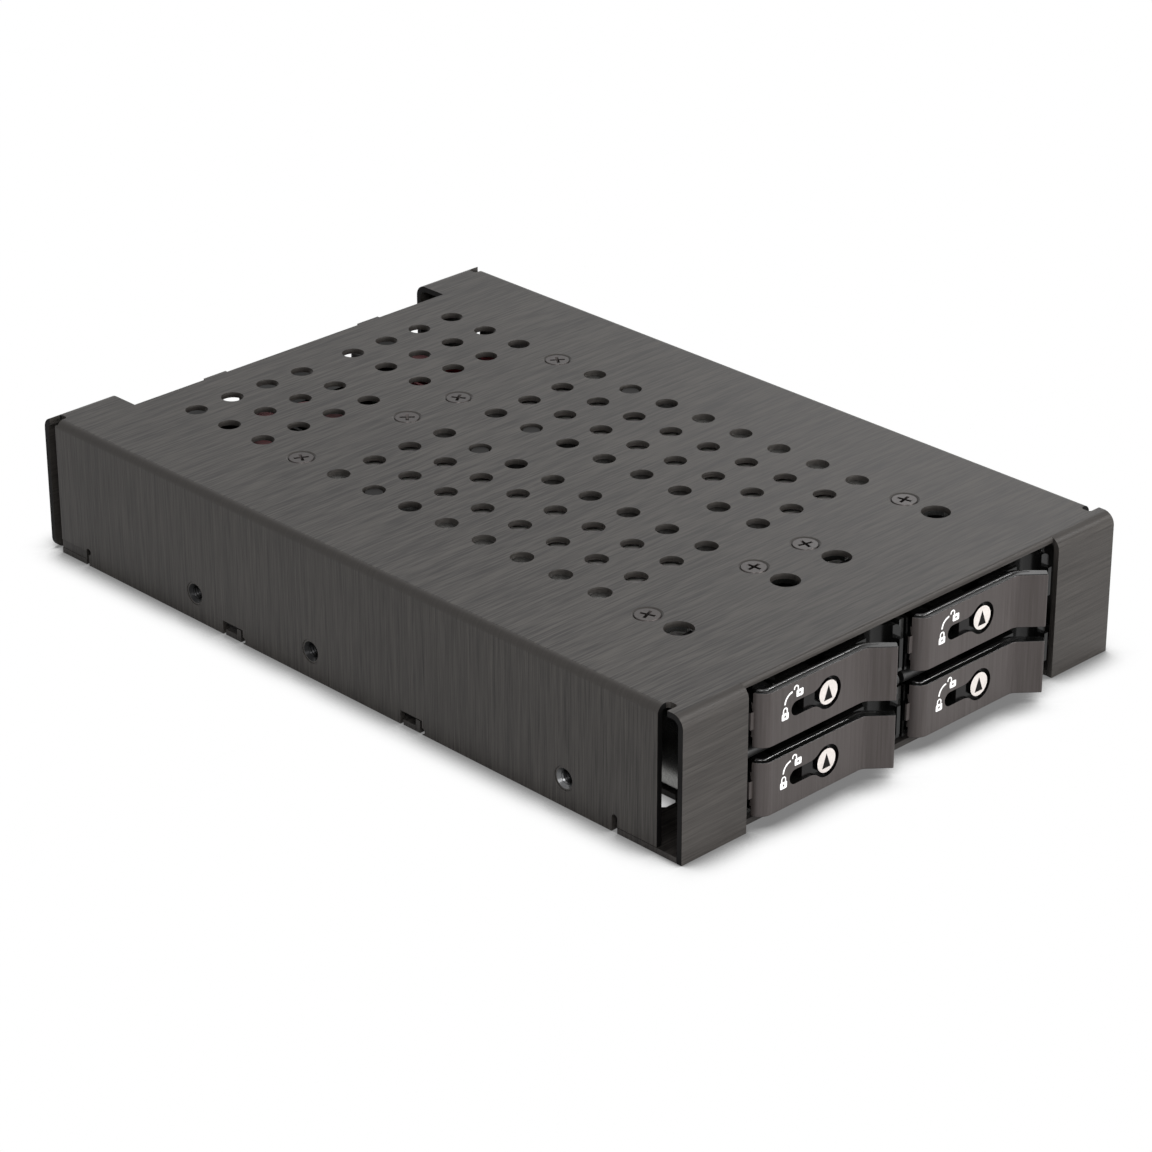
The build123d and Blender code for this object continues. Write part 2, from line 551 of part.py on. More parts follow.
def flat_head_screws(name, face_z, direction):
    """Eight countersunk screws that hold a sheet to the lips of the cage."""
    with BuildPart() as screws:
        with BuildSketch(Plane.XZ) as half:
            with BuildLine():
                Polyline(
                    (0, 0),
                    (SCREW_HEAD_R, 0),
                    (SCREW_R, -SCREW_HEAD),
                    (SCREW_R, -SCREW_LENGTH),
                    (0, -SCREW_LENGTH),
                    close=True,
                )
            make_face()
        tilt = 0 if direction > 0 else 180
        for x, y in screw_points:
            with Locations(Location((x, y, face_z - direction * RUN_FIT), (tilt, 0, 0))):
                add(revolve(half.sketch, Axis.Z, mode=Mode.PRIVATE))
    screws.part.label = name
    export_step(screws.part, "parts/" + name + ".step")


def side_mount_nuts():
    """Clinch nuts in the side walls, with the thread opening flush to the outside."""
    inner_x = WIDTH / 2 - SHEET
    with BuildPart() as nuts:
        with BuildSketch(Plane.YZ.offset(inner_x)):
            with Locations(*side_hole_points):
                Circle(NUT_R)
        extrude(amount=-NUT_DEPTH)
        with BuildSketch(Plane.YZ.offset(inner_x)):
            with Locations(*side_hole_points):
                Circle(NUT_SHANK_R - RUN_FIT)
        extrude(amount=SHEET - FIT)
        with BuildSketch(Plane.YZ.offset(inner_x - NUT_DEPTH)):
            with Locations(*side_hole_points):
                Circle(NUT_BORE_R)
        extrude(amount=NUT_DEPTH + SHEET, mode=Mode.SUBTRACT)
        mouths = nuts.faces().sort_by(Axis.X)[-3:]
        chamfer(mouths.edges().filter_by(lambda e: e.radius < NUT_BORE_R + FIT), NUT_MOUTH)
        mirror(about=Plane.YZ)
    nuts.part.label = "side_mount_nuts"
    export_step(nuts.part, "parts/side_mount_nuts.step")


def tray_base():
    """Tray in bay coordinates: runners, floor, ribs beside the card and a front block."""
    with BuildPart() as base:
        with BuildSketch(facing(BEZEL_BACK)):
            for side in (-1, 1):
                outer = side * TRAY_X
                block((outer - side * TRAY_WALL, outer), (-TRAY_Z, TRAY_Z))
                block((outer - side * RUNNER, outer), (-TRAY_Z, FLOOR_TOP))
            block((-TRAY_X, TRAY_X), (FLOOR_TOP - TRAY_FLOOR, FLOOR_TOP))
        extrude(amount=-(TRAY_END - BEZEL_BACK))
        # Front block, ribs and screw bosses up to the lid's seat
        with BuildSketch(Plane.XY.offset(FLOOR_TOP)):
            block((-LID_X, LID_X), (CARD_FRONT - BLOCK_DEPTH, CARD_FRONT))
            for side in (-1, 1):
                block((side * CARD_X, side * LID_X), (CARD_FRONT, TRAY_END))
                for boss_y in (CARD_FRONT, TRAY_END - BOSS_INSET):
                    with Locations((side * BOSS_X, boss_y)):
                        Circle(BOSS_R)
            block((-CARD_X, CARD_X), (CARD_FRONT, TRAY_END), mode=Mode.SUBTRACT)
        extrude(amount=CARD_HEIGHT)
        # Half-round seat of the card's retaining screw, and the thread holes
        with BuildSketch(Plane.XY.offset(LID_Z - LID_SCREW_LENGTH)):
            for side in (-1, 1):
                for boss_y in (CARD_FRONT, TRAY_END - BOSS_INSET):
                    with Locations((side * BOSS_X, boss_y)):
                        Circle(LID_SCREW_R + RUN_FIT)
        extrude(amount=LID_SCREW_LENGTH, mode=Mode.SUBTRACT)
        with BuildSketch(Plane.XY.offset(LID_Z)):
            with Locations((0, CARD_FRONT)):
                Circle(STUD_R)
        extrude(amount=-CARD_HEIGHT / 2, mode=Mode.SUBTRACT)
    return base.part


def tray_bezel():
    """Front piece of the tray with the lever's hinge ears and the finger scoop."""
    pivot = (PIVOT_X, PIVOT_Y)
    with BuildPart() as bezel:
        with BuildSketch(facing(BEZEL_FACE)) as outline:
            block((-TRAY_X, TRAY_X), (-TRAY_Z, TRAY_Z))
            fillet(outline.vertices().group_by(Axis.X)[-1], BEZEL_CORNER)
        extrude(amount=BEZEL_FACE - BEZEL_BACK)
        with BuildSketch(facing(GRIP_TAB_FRONT)):
            block(GRIP_TAB, (-GRIP_TAB_HEIGHT / 2, GRIP_TAB_HEIGHT / 2))
        extrude(amount=GRIP_TAB_FRONT - BEZEL_FACE)
        # Finger scoop, knuckle pocket and the open corner beside it
        with BuildSketch(Plane.XY.offset(-TRAY_Z)):
            with Locations(SCOOP_CENTRE):
                Circle(SCOOP_R)
            with Locations(pivot):
                Circle(KNUCKLE_R + PIVOT_FIT)
            block((-TRAY_X, PIVOT_X), (BEZEL_FACE, PIVOT_Y))
        extrude(amount=2 * TRAY_Z, mode=Mode.SUBTRACT)
        with BuildSketch(Plane.XY.offset(-CAM_HEIGHT / 2 - PIVOT_FIT)):
            with Locations(pivot):
                Circle(CAM_R + PIVOT_FIT)
        extrude(amount=CAM_HEIGHT + 2 * PIVOT_FIT, mode=Mode.SUBTRACT)
        # Two ears that hold the lever's pin
        for ear_z in (-TRAY_Z, TRAY_Z - EAR_THICK):
            with BuildSketch(Plane.XY.offset(ear_z)):
                with Locations(pivot):
                    Circle(EAR_R)
                neck_end = PIVOT_Y + KNUCKLE_R + 2 * PIVOT_FIT
                block((PIVOT_X - EAR_R / 2, PIVOT_X + EAR_R), (PIVOT_Y, neck_end))
                with Locations(pivot):
                    Circle(PIN_R, mode=Mode.SUBTRACT)
            extrude(amount=EAR_THICK)
        # Pocket of the lock's tongue, with the keeper on the side to which it turns
        with BuildSketch(Plane.XY.offset(-TRAY_Z)):
            block((POCKET_LEFT, KEEPER_X), (BEZEL_FACE, POCKET_DEPTH))
            block((POCKET_LEFT, POCKET_RIGHT), (BEZEL_FACE + KEEPER, POCKET_DEPTH))
        extrude(amount=2 * TRAY_Z, mode=Mode.SUBTRACT)
        # Channel of the light pipe, and two tongues that snap into the tray
        with BuildSketch(facing(BEZEL_FACE)):
            with Locations((PIPE_X, 0)):
                Rectangle(PIPE + 2 * RUN_FIT, PIPE + 2 * RUN_FIT)
        extrude(amount=BEZEL_FACE - BEZEL_BACK, mode=Mode.SUBTRACT)
        tongue_x = TRAY_X - TRAY_WALL - FIT
        with BuildSketch(facing(BEZEL_BACK)):
            for side in (-1, 1):
                block((side * (tongue_x - TONGUE[0]), side * tongue_x), (-TONGUE[2] / 2, TONGUE[2] / 2))
        extrude(amount=-TONGUE[1])
    return bezel.part


def tray_lid():
    """Heat spreader over the card: a plate with ears and a raised flat pad."""
    with BuildPart() as lid:
        with BuildSketch(Plane.XY.offset(LID_Z)):
            block((-LID_X, LID_X), (CARD_FRONT - BLOCK_DEPTH, TRAY_END))
            for side in (-1, 1):
                for boss_y in (CARD_FRONT, TRAY_END - BOSS_INSET):
                    with Locations((side * BOSS_X, boss_y)):
                        Circle(BOSS_R - SLIDE_FIT)
        extrude(amount=LID_PLATE)
        pad_z = LID_Z + LID_PLATE
        with BuildSketch(Plane.XY.offset(pad_z)):
            block((-LID_PAD_X, LID_PAD_X), (CARD_FRONT - BLOCK_DEPTH, TRAY_END))
        extrude(amount=TRAY_Z - pad_z)
        for side in (-1, 1):
            for boss_y in (CARD_FRONT, TRAY_END - BOSS_INSET):
                with Locations((side * BOSS_X, boss_y, pad_z)):
                    CounterSinkHole(LID_SCREW_R + RUN_FIT, LID_SCREW_R + LID_SCREW_HEAD + FIT, LID_PLATE, 90)
    return lid.part


def lid_screws():
    """Four small countersunk screws of one lid."""
    head_r = LID_SCREW_R + LID_SCREW_HEAD
    with BuildPart() as screws:
        with BuildSketch(Plane.XZ) as half:
            with BuildLine():
                Polyline(
                    (0, 0),
                    (head_r, 0),
                    (LID_SCREW_R, -LID_SCREW_HEAD),
                    (LID_SCREW_R, -LID_SCREW_LENGTH),
                    (0, -LID_SCREW_LENGTH),
                    close=True,
                )
            make_face()
        for side in (-1, 1):
            for boss_y in (CARD_FRONT, TRAY_END - BOSS_INSET):
                with Locations((side * BOSS_X, boss_y, LID_Z + LID_PLATE - RUN_FIT)):
                    add(revolve(half.sketch, Axis.Z, mode=Mode.PRIVATE))
    return screws.part


def lever():
    """Swing lever: knuckle, flat plate and flared tip in one plan outline."""
    pivot = (PIVOT_X, PIVOT_Y)
    with BuildPart() as handle:
        with BuildSketch(Plane.XY.offset(-LEVER_HEIGHT / 2)) as plan:
            with BuildLine():
                Polyline(
                    (PIVOT_X, LEVER_FACE),
                    (FLARE_X, LEVER_FACE),
                    (TIP_X, TIP_Y),
                    (TIP_X + TIP_THICK[0], TIP_Y + TIP_THICK[1]),
                    (FLARE_BACK_X, LEVER_BACK),
                    (PIVOT_X, LEVER_BACK),
                    close=True,
                )
            make_face()
            fillet(plan.vertices().sort_by_distance((FLARE_X, LEVER_FACE, 0))[0], LEVER_THICK)
            fillet(plan.vertices().sort_by_distance((FLARE_BACK_X, LEVER_BACK, 0))[0], LEVER_THICK)
            with Locations(pivot):
                Circle(KNUCKLE_R)
        extrude(amount=LEVER_HEIGHT)
        # Room for the bezel's ears above and below the knuckle
        ear_z = TRAY_Z - EAR_THICK - PIVOT_FIT
        for low_z, high_z in ((-LEVER_HEIGHT / 2, -ear_z), (ear_z, LEVER_HEIGHT / 2)):
            with BuildSketch(Plane.XY.offset(low_z)):
                with Locations(pivot):
                    Circle(EAR_CLEAR)
                reach = KNUCKLE_R + PIVOT_FIT
                block((PIVOT_X - reach, PIVOT_X + reach), (LEVER_BACK, PIVOT_Y + reach))
            extrude(amount=high_z - low_z, mode=Mode.SUBTRACT)
        # Ejector cam on the knuckle
        with BuildSketch(Plane.XY.offset(-CAM_HEIGHT / 2)):
            with Locations(pivot):
                Circle(CAM_R)
            block((PIVOT_X - CAM_R, PIVOT_X + CAM_R), (PIVOT_Y + EAR_R / 2, PIVOT_Y + CAM_R), mode=Mode.SUBTRACT)
            block((PIVOT_X - CAM_R, PIVOT_X + CAM_R), (PIVOT_Y - CAM_R, PIVOT_Y - EAR_R / 2), mode=Mode.SUBTRACT)
            block((PIVOT_X, PIVOT_X + CAM_R), (PIVOT_Y - CAM_R, PIVOT_Y + CAM_R), mode=Mode.SUBTRACT)
        extrude(amount=CAM_HEIGHT)
        with BuildSketch(Plane.XY.offset(-LEVER_HEIGHT / 2)):
            with Locations(pivot):
                Circle(PIN_R + RUN_FIT)
        extrude(amount=LEVER_HEIGHT, mode=Mode.SUBTRACT)
        # Ring recess of the lock, whose neck runs out into the status window's slot
        slot_right = LOCK_X - LOCK_RING_R
        with BuildSketch(facing(LEVER_FACE)) as recess:
            with Locations((LOCK_X, 0)):
                Circle(LOCK_RING_R)
            block((LENS_LEFT, LOCK_X), (-SLOT_TALL / 2, SLOT_TALL / 2))
            neck = recess.vertices().group_by(Axis.X)[1]
            fillet(neck, SLOT_NECK_R)
        extrude(amount=-LOCK_SINK, mode=Mode.SUBTRACT)
        with BuildSketch(facing(LEVER_FACE)):
            with Locations((LOCK_X, 0)):
                Circle(LOCK_SHAFT_R + RUN_FIT)
            with Locations((SLOT_LEFT + SLOT_TALL / 2, 0)):
                Circle(SLOT_TALL / 2)
            block((SLOT_LEFT + SLOT_TALL / 2, slot_right), (-SLOT_TALL / 2, SLOT_TALL / 2))
        extrude(amount=-LEVER_THICK, mode=Mode.SUBTRACT)
    return handle.part


def lever_pin():
    """Steel pin of the lever, pressed into the bezel's ears."""
    with BuildPart() as pin:
        with BuildSketch(Plane.XY.offset(-TRAY_Z)):
            with Locations((PIVOT_X, PIVOT_Y)):
                Circle(PIN_R)
        extrude(amount=2 * TRAY_Z)
    return pin.part


def lock_knob():
    """Turn lock: disc with an engraved arrow, shaft and locking tongue."""
    face_y = LEVER_FACE + FIT
    disc_back = LEVER_FACE + LOCK_SINK - RUN_FIT
    tongue_y = disc_back + LOCK_SHAFT
    with BuildPart() as knob:
        with BuildSketch(facing(face_y)):
            with Locations((LOCK_X, 0)):
                Circle(LOCK_DISC_R)
        extrude(amount=face_y - disc_back)
        with BuildSketch(facing(disc_back)):
            with Locations((LOCK_X, 0)):
                Circle(LOCK_SHAFT_R)
        extrude(amount=disc_back - tongue_y - TONGUE_THICK)
        with BuildSketch(facing(tongue_y)):
            block((LOCK_X - TONGUE_WIDTH / 2, LOCK_X + TONGUE_WIDTH / 2), (-TONGUE_LENGTH, 0))
        extrude(amount=-TONGUE_THICK)
        with BuildSketch(facing(face_y)):
            with BuildLine():
                Polyline(
                    (LOCK_X - ARROW[0] / 2, -ARROW[1] / 2),
                    (LOCK_X + ARROW[0] / 2, -ARROW[1] / 2),
                    (LOCK_X, ARROW[1] / 2),
                    close=True,
                )
            make_face()
        extrude(amount=-ARROW[2], mode=Mode.SUBTRACT)
    return knob.part


def status_lens():
    """Smoked window that fills the right part of the lever's slot."""
    right_x = LOCK_X - LOCK_RING_R
    front_y = LEVER_FACE + LEVER_THICK / 4
    with BuildPart() as lens:
        with BuildSketch(facing(front_y)):
            block((LENS_LEFT, right_x), (RUN_FIT - SLOT_TALL / 2, SLOT_TALL / 2 - RUN_FIT))
        extrude(amount=-LENS_THICK)
    return lens.part


def light_pipe():
    """Clear guide that carries the board's status light to the front."""
    pipe_x = -(LID_X + TRAY_X - TRAY_WALL) / 2
    with BuildPart() as pipe:
        with BuildSketch(Plane.XY.offset(-PIPE / 2)):
            with BuildLine():
                FilletPolyline(
                    (PIPE_X, BEZEL_FACE),
                    (PIPE_X, PIPE_TURN_START),
                    (pipe_x, PIPE_TURN_END),
                    (pipe_x, CARD_FRONT - BOSS_R - SLIDE_FIT),
                    radius=PIPE_BEND,
                )
            trace(line_width=PIPE)
        extrude(amount=PIPE)
    return pipe.part


def backplane():
    """Upright board behind the trays, on the lips of the channels."""
    with BuildPart() as board:
        with BuildSketch(facing(CAGE_REAR_Y)):
            low_z = SHEET + BACKPLANE_TOP
            block((-BACKPLANE_X, BACKPLANE_X), (low_z, HEIGHT - low_z))
            with Locations((0, HEIGHT / 2)):
                hole_x = 2 * (CAGE_X - CAGE_SHEET - REAR_LIP / 2)
                with GridLocations(hole_x, HEIGHT - 2 * BACKPLANE_HOLE_Z, 2, 2):
                    Circle(THREAD_R + FIT, mode=Mode.SUBTRACT)
                with GridLocations(2 * BAY_X, 1, 2, 1):
                    SlotOverall(*BACKPLANE_WINDOW, mode=Mode.SUBTRACT)
        extrude(amount=-BOARD)
    board.part.label = "backplane_board"
    export_step(board.part, "parts/backplane_board.step")


def card_sockets():
    """Four edge sockets on the backplane, one behind each tray."""
    with BuildPart() as sockets:
        for bay_x, bay_z in bays.values():
            socket_z = bay_z + FLOOR_TOP + CARD_HEIGHT / 2
            with BuildSketch(facing(CAGE_REAR_Y)):
                with Locations((bay_x, socket_z)):
                    Rectangle(SOCKET[0], SOCKET[2])
            extrude(amount=SOCKET[1])
            with BuildSketch(facing(CAGE_REAR_Y - SOCKET[1])):
                with Locations((bay_x, socket_z)):
                    Rectangle(SOCKET_SLOT[0], SOCKET_SLOT[2])
            extrude(amount=-SOCKET_SLOT[1], mode=Mode.SUBTRACT)
    sockets.part.label = "card_sockets"
    export_step(sockets.part, "parts/card_sockets.step")


def io_board():
    """Flat board that carries the rear connectors, on four standoffs."""
    with BuildPart() as board:
        with BuildSketch(Plane.XY.offset(IO_Z)):
            block((-IO_X, IO_X), (IO_Y, IO_Y + IO_DEPTH))
            for standoff_y in STANDOFF_Y:
                with Locations((-STANDOFF_X, IO_Y + standoff_y), (STANDOFF_X, IO_Y + standoff_y)):
                    Circle(THREAD_R + FIT, mode=Mode.SUBTRACT)
        extrude(amount=BOARD)
    board.part.label = "io_board"
    export_step(board.part, "parts/io_board.step")


def board_hardware():
    """Standoffs of the rear board, and the screws of both boards."""
    standoff_points = [(x, IO_Y + y) for x in (-STANDOFF_X, STANDOFF_X) for y in STANDOFF_Y]
    with BuildPart() as standoffs:
        with BuildSketch(Plane.XY.offset(SHEET)):
            with Locations(*standoff_points):
                RegularPolygon(STANDOFF_R, 6)
        extrude(amount=IO_Z - SHEET)
        with BuildSketch(Plane.XY.offset(IO_Z)):
            with Locations(*standoff_points):
                Circle(THREAD_R)
        extrude(amount=-BOARD_SCREW_DEPTH - FIT, mode=Mode.SUBTRACT)
    standoffs.part.label = "board_standoffs"
    export_step(standoffs.part, "parts/board_standoffs.step")
    top_z = IO_Z + BOARD
    with BuildPart() as screws:
        with BuildSketch(Plane.XY.offset(top_z)):
            with Locations(*standoff_points):
                Circle(BOARD_SCREW_HEAD[0])
        extrude(amount=BOARD_SCREW_HEAD[1])
        with BuildSketch(Plane.XY.offset(top_z)):
            with Locations(*standoff_points):
                Circle(SCREW_R)
        extrude(amount=-BOARD - BOARD_SCREW_DEPTH)
    screws.part.label = "io_board_screws"
    export_step(screws.part, "parts/io_board_screws.step")
    lip_x = CAGE_X - CAGE_SHEET - REAR_LIP / 2
    lip_points = [(x, z) for x in (-lip_x, lip_x) for z in (BACKPLANE_HOLE_Z, HEIGHT - BACKPLANE_HOLE_Z)]
    with BuildPart() as lip_screws:
        with BuildSketch(facing(IO_Y)):
            with Locations(*lip_points):
                Circle(REAR_LIP / 2 - SLIDE_FIT)
        extrude(amount=-BOARD_SCREW_HEAD[1])
        with BuildSketch(facing(IO_Y)):
            with Locations(*lip_points):
                Circle(SCREW_R)
        extrude(amount=BOARD + CAGE_SHEET)
    lip_screws.part.label = "backplane_screws"
    export_step(lip_screws.part, "parts/backplane_screws.step")


def data_connectors():
    """Four small metal shell connectors, two above and two under the rear board."""
    rear_y = IO_Y + IO_DEPTH + DATA_OVERHANG
    with BuildPart() as shells:
        for shell_z in (IO_Z + BOARD + DATA_SHELL[2] / 2, IO_Z - DATA_SHELL[2] / 2):
            for shell_x in (-DATA_X, DATA_X):
                with BuildSketch(facing(rear_y)):
                    with Locations((shell_x, shell_z)):
                        Rectangle(DATA_SHELL[0], DATA_SHELL[2])
                extrude(amount=DATA_SHELL[1])
                with BuildSketch(facing(rear_y)):
                    with Locations((shell_x, shell_z)):
                        Rectangle(DATA_SHELL[0] - 2 * SHELL_WALL, DATA_SHELL[2] - 2 * SHELL_WALL)
                        Rectangle(DATA_SHELL[0] * 0.7, SHELL_WALL * 1.6, mode=Mode.SUBTRACT)
                extrude(amount=DATA_SHELL[1] - 4 * SHELL_WALL, mode=Mode.SUBTRACT)
    shells.part.label = "data_connectors"
    export_step(shells.part, "parts/data_connectors.step")


def power_connector():
    """Flat power inlet on top of the rear board, with its contact tongue."""
    rear_y = IO_Y + IO_DEPTH + POWER_OVERHANG
    centre = (POWER_X, IO_Z + BOARD + POWER_BODY[2] / 2)
    with BuildPart() as inlet:
        with BuildSketch(facing(rear_y)):
            with Locations(centre):
                Rectangle(POWER_BODY[0], POWER_BODY[2])
        extrude(amount=POWER_BODY[1])
        with BuildSketch(facing(rear_y)):
            with Locations(centre):
                Rectangle(POWER_BODY[0] - 3 * SHEET, POWER_BODY[2] - 2 * SHEET)
                Rectangle(POWER_BODY[0] - 5 * SHEET, SHEET * 1.3, mode=Mode.SUBTRACT)
        extrude(amount=POWER_BODY[1] - 3 * SHEET, mode=Mode.SUBTRACT)
    inlet.part.label = "power_connector"
    export_step(inlet.part, "parts/power_connector.step")


def board_parts():
    """Capacitors, chips and the header between the two boards."""
    top_z = IO_Z + BOARD
    cap_points = [(bay_x + CAP_OFFSET, IO_Y + y) for bay_x in (-BAY_X, BAY_X) for y in CAP_Y]
    with BuildPart() as capacitors:
        with BuildSketch(Plane.XY.offset(top_z)):
            with Locations(*cap_points):
                Circle(CAP_R)
        extrude(amount=CAP_HEIGHT)
    capacitors.part.label = "capacitors"
    export_step(capacitors.part, "parts/capacitors.step")
    chip_y = IO_Y + LINK[1] + CHIP / 2 + SHEET
    with BuildPart() as chips:
        with BuildSketch(Plane.XY.offset(top_z)):
            with Locations((-BAY_X - SHEET, chip_y), (BAY_X - CHIP / 2, chip_y)):
                Rectangle(CHIP, CHIP)
        extrude(amount=CHIP_HEIGHT)
        chamfer(chips.faces().sort_by(Axis.Z)[-2:].edges(), CHIP_CHAMFER)
    chips.part.label = "control_chips"
    export_step(chips.part, "parts/control_chips.step")
    with BuildPart() as link:
        with BuildSketch(Plane.XY.offset(top_z)):
            block((-LINK[0] / 2, LINK[0] / 2), (IO_Y, IO_Y + LINK[1]))
        extrude(amount=LINK[2])
    link.part.label = "board_link"
    export_step(link.part, "parts/board_link.step")


def trays():
    """Each tray piece is modelled once and placed in the four bays."""
    pieces = {
        "tray_base": tray_base(),
        "tray_bezel": tray_bezel(),
        "tray_lid": tray_lid(),
        "lid_screws": lid_screws(),
        "lever": lever(),
        "lever_pin": lever_pin(),
        "lock_knob": lock_knob(),
        "status_lens": status_lens(),
        "light_pipe": light_pipe(),
    }
    for bay, (bay_x, bay_z) in bays.items():
        for name, piece in pieces.items():
            placed = piece.moved(Location((bay_x, FRONT_Y, bay_z)))
            placed.label = name + "_" + bay
            export_step(placed, "parts/" + placed.label + ".step")


os.makedirs("parts", exist_ok=True)
top_cover()
bottom_plate()
cage_channel(-1, "cage_channel_left")
cage_channel(1, "cage_channel_right")
cage_divider()
guide_shelf(-1, "guide_shelf_left")
guide_shelf(1, "guide_shelf_right")
ground_clips()
flat_head_screws("cover_screws", HEIGHT, 1)
flat_head_screws("base_screws", 0, -1)
side_mount_nuts()
trays()
backplane()
card_sockets()
io_board()
board_hardware()
data_connectors()
power_connector()
board_parts()
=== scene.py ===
"""Looks of the hot swap drive cage: finishes, fine pieces, floor, lamps and camera.

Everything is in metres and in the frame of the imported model. X runs to the right seen
from the front, Y to the back and Z up, and the object stands on z = 0. Names that end in
_mm, and the fields of the sub-assemblies, are in millimetres.
"""

from __future__ import annotations

import logging
import math
from dataclasses import dataclass, field
from enum import Enum
from typing import Callable, Iterable, Sequence

import bmesh
import bpy
from mathutils import Matrix, Vector


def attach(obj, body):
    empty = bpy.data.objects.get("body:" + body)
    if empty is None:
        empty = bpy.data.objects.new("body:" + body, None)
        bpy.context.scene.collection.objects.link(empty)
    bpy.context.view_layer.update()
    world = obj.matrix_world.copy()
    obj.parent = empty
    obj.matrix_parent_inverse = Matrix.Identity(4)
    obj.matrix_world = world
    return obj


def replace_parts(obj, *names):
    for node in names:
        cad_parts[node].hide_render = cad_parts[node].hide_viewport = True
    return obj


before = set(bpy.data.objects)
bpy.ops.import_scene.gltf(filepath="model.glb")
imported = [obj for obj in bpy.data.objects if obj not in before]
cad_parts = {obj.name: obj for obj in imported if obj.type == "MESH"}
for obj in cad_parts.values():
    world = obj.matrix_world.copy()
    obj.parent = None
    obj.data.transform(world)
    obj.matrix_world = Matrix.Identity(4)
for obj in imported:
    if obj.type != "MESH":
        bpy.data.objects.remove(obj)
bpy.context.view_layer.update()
log = logging.getLogger("drive_cage")
MM = 0.001
# Slow changes of shade are this far apart on plain finishes and on brushed ones
PATCH_MM = 9.0
CLOUD_MM = 38.0
# Smooth noise keeps mostly to this part of its range
MIDDLE = {"From Min": 0.3, "From Max": 0.7}

Material = bpy.types.Material
Mesh = bmesh.types.BMesh
Vert = bmesh.types.BMVert
Edge = bmesh.types.BMEdge
Face = bmesh.types.BMFace
Node = bpy.types.Node
Socket = bpy.types.NodeSocket
Tree = bpy.types.NodeTree
Pair = tuple[float, float]
Point = tuple[float, float, float]


def linear(hex_colour: str) -> tuple[float, float, float, float]:
    """Turns an sRGB hex colour to linear values.

    Args:
        hex_colour: A colour such as "#4a4645".

    Returns:
        Red, green, blue and alpha, linear.
    """
    digits = hex_colour.lstrip("#")
    values = [int(digits[i : i + 2], 16) / 255 for i in (0, 2, 4)]
    low = [v / 12.92 if v <= 0.04045 else ((v + 0.055) / 1.055) ** 2.4 for v in values]
    return low[0], low[1], low[2], 1.0


def add_node(tree: Tree, kind: str, inputs: dict | None = None, **settings: object) -> Node:
    """Adds one shader node with its settings and links.

    Args:
        tree: The material's node tree.
        kind: The node's type name, such as "ShaderNodeBump".
        inputs: Input name or number to a plain value, or to a socket that it is linked from.
        settings: The node's own options.

    Returns:
        The new node.
    """
    node = tree.nodes.new(kind)
    for option, value in settings.items():
        setattr(node, option, value)
    for key, value in (inputs or {}).items():
        if isinstance(value, Socket):
            tree.links.new(value, node.inputs[key])
        else:
            node.inputs[key].default_value = value
    return node


def direct_view(tree: Tree) -> Socket:
    """Tells rays that see the backdrop as itself from rays that are lit by it.

    Args:
        tree: The node tree.

    Returns:
        1 for rays of the camera, of mirrors and of clear plastic, 0 for all others.
    """
    rays = add_node(tree, "ShaderNodeLightPath").outputs
    seen = add_node(
        tree,
        "ShaderNodeMath",
        {0: rays["Is Camera Ray"], 1: rays["Is Glossy Ray"]},
        operation="MAXIMUM",
    )
    either = add_node(
        tree,
        "ShaderNodeMath",
        {0: seen.outputs[0], 1: rays["Is Transmission Ray"]},
        operation="MAXIMUM",
    )
    return either.outputs[0]


class Grain(Enum):
    """Which way the brush or grain lines run on a piece."""

    BENT_SHEET = "across the top, down the sides, along the flanges"
    UPRIGHT = "up and down"
    ALONG_X = "left to right"


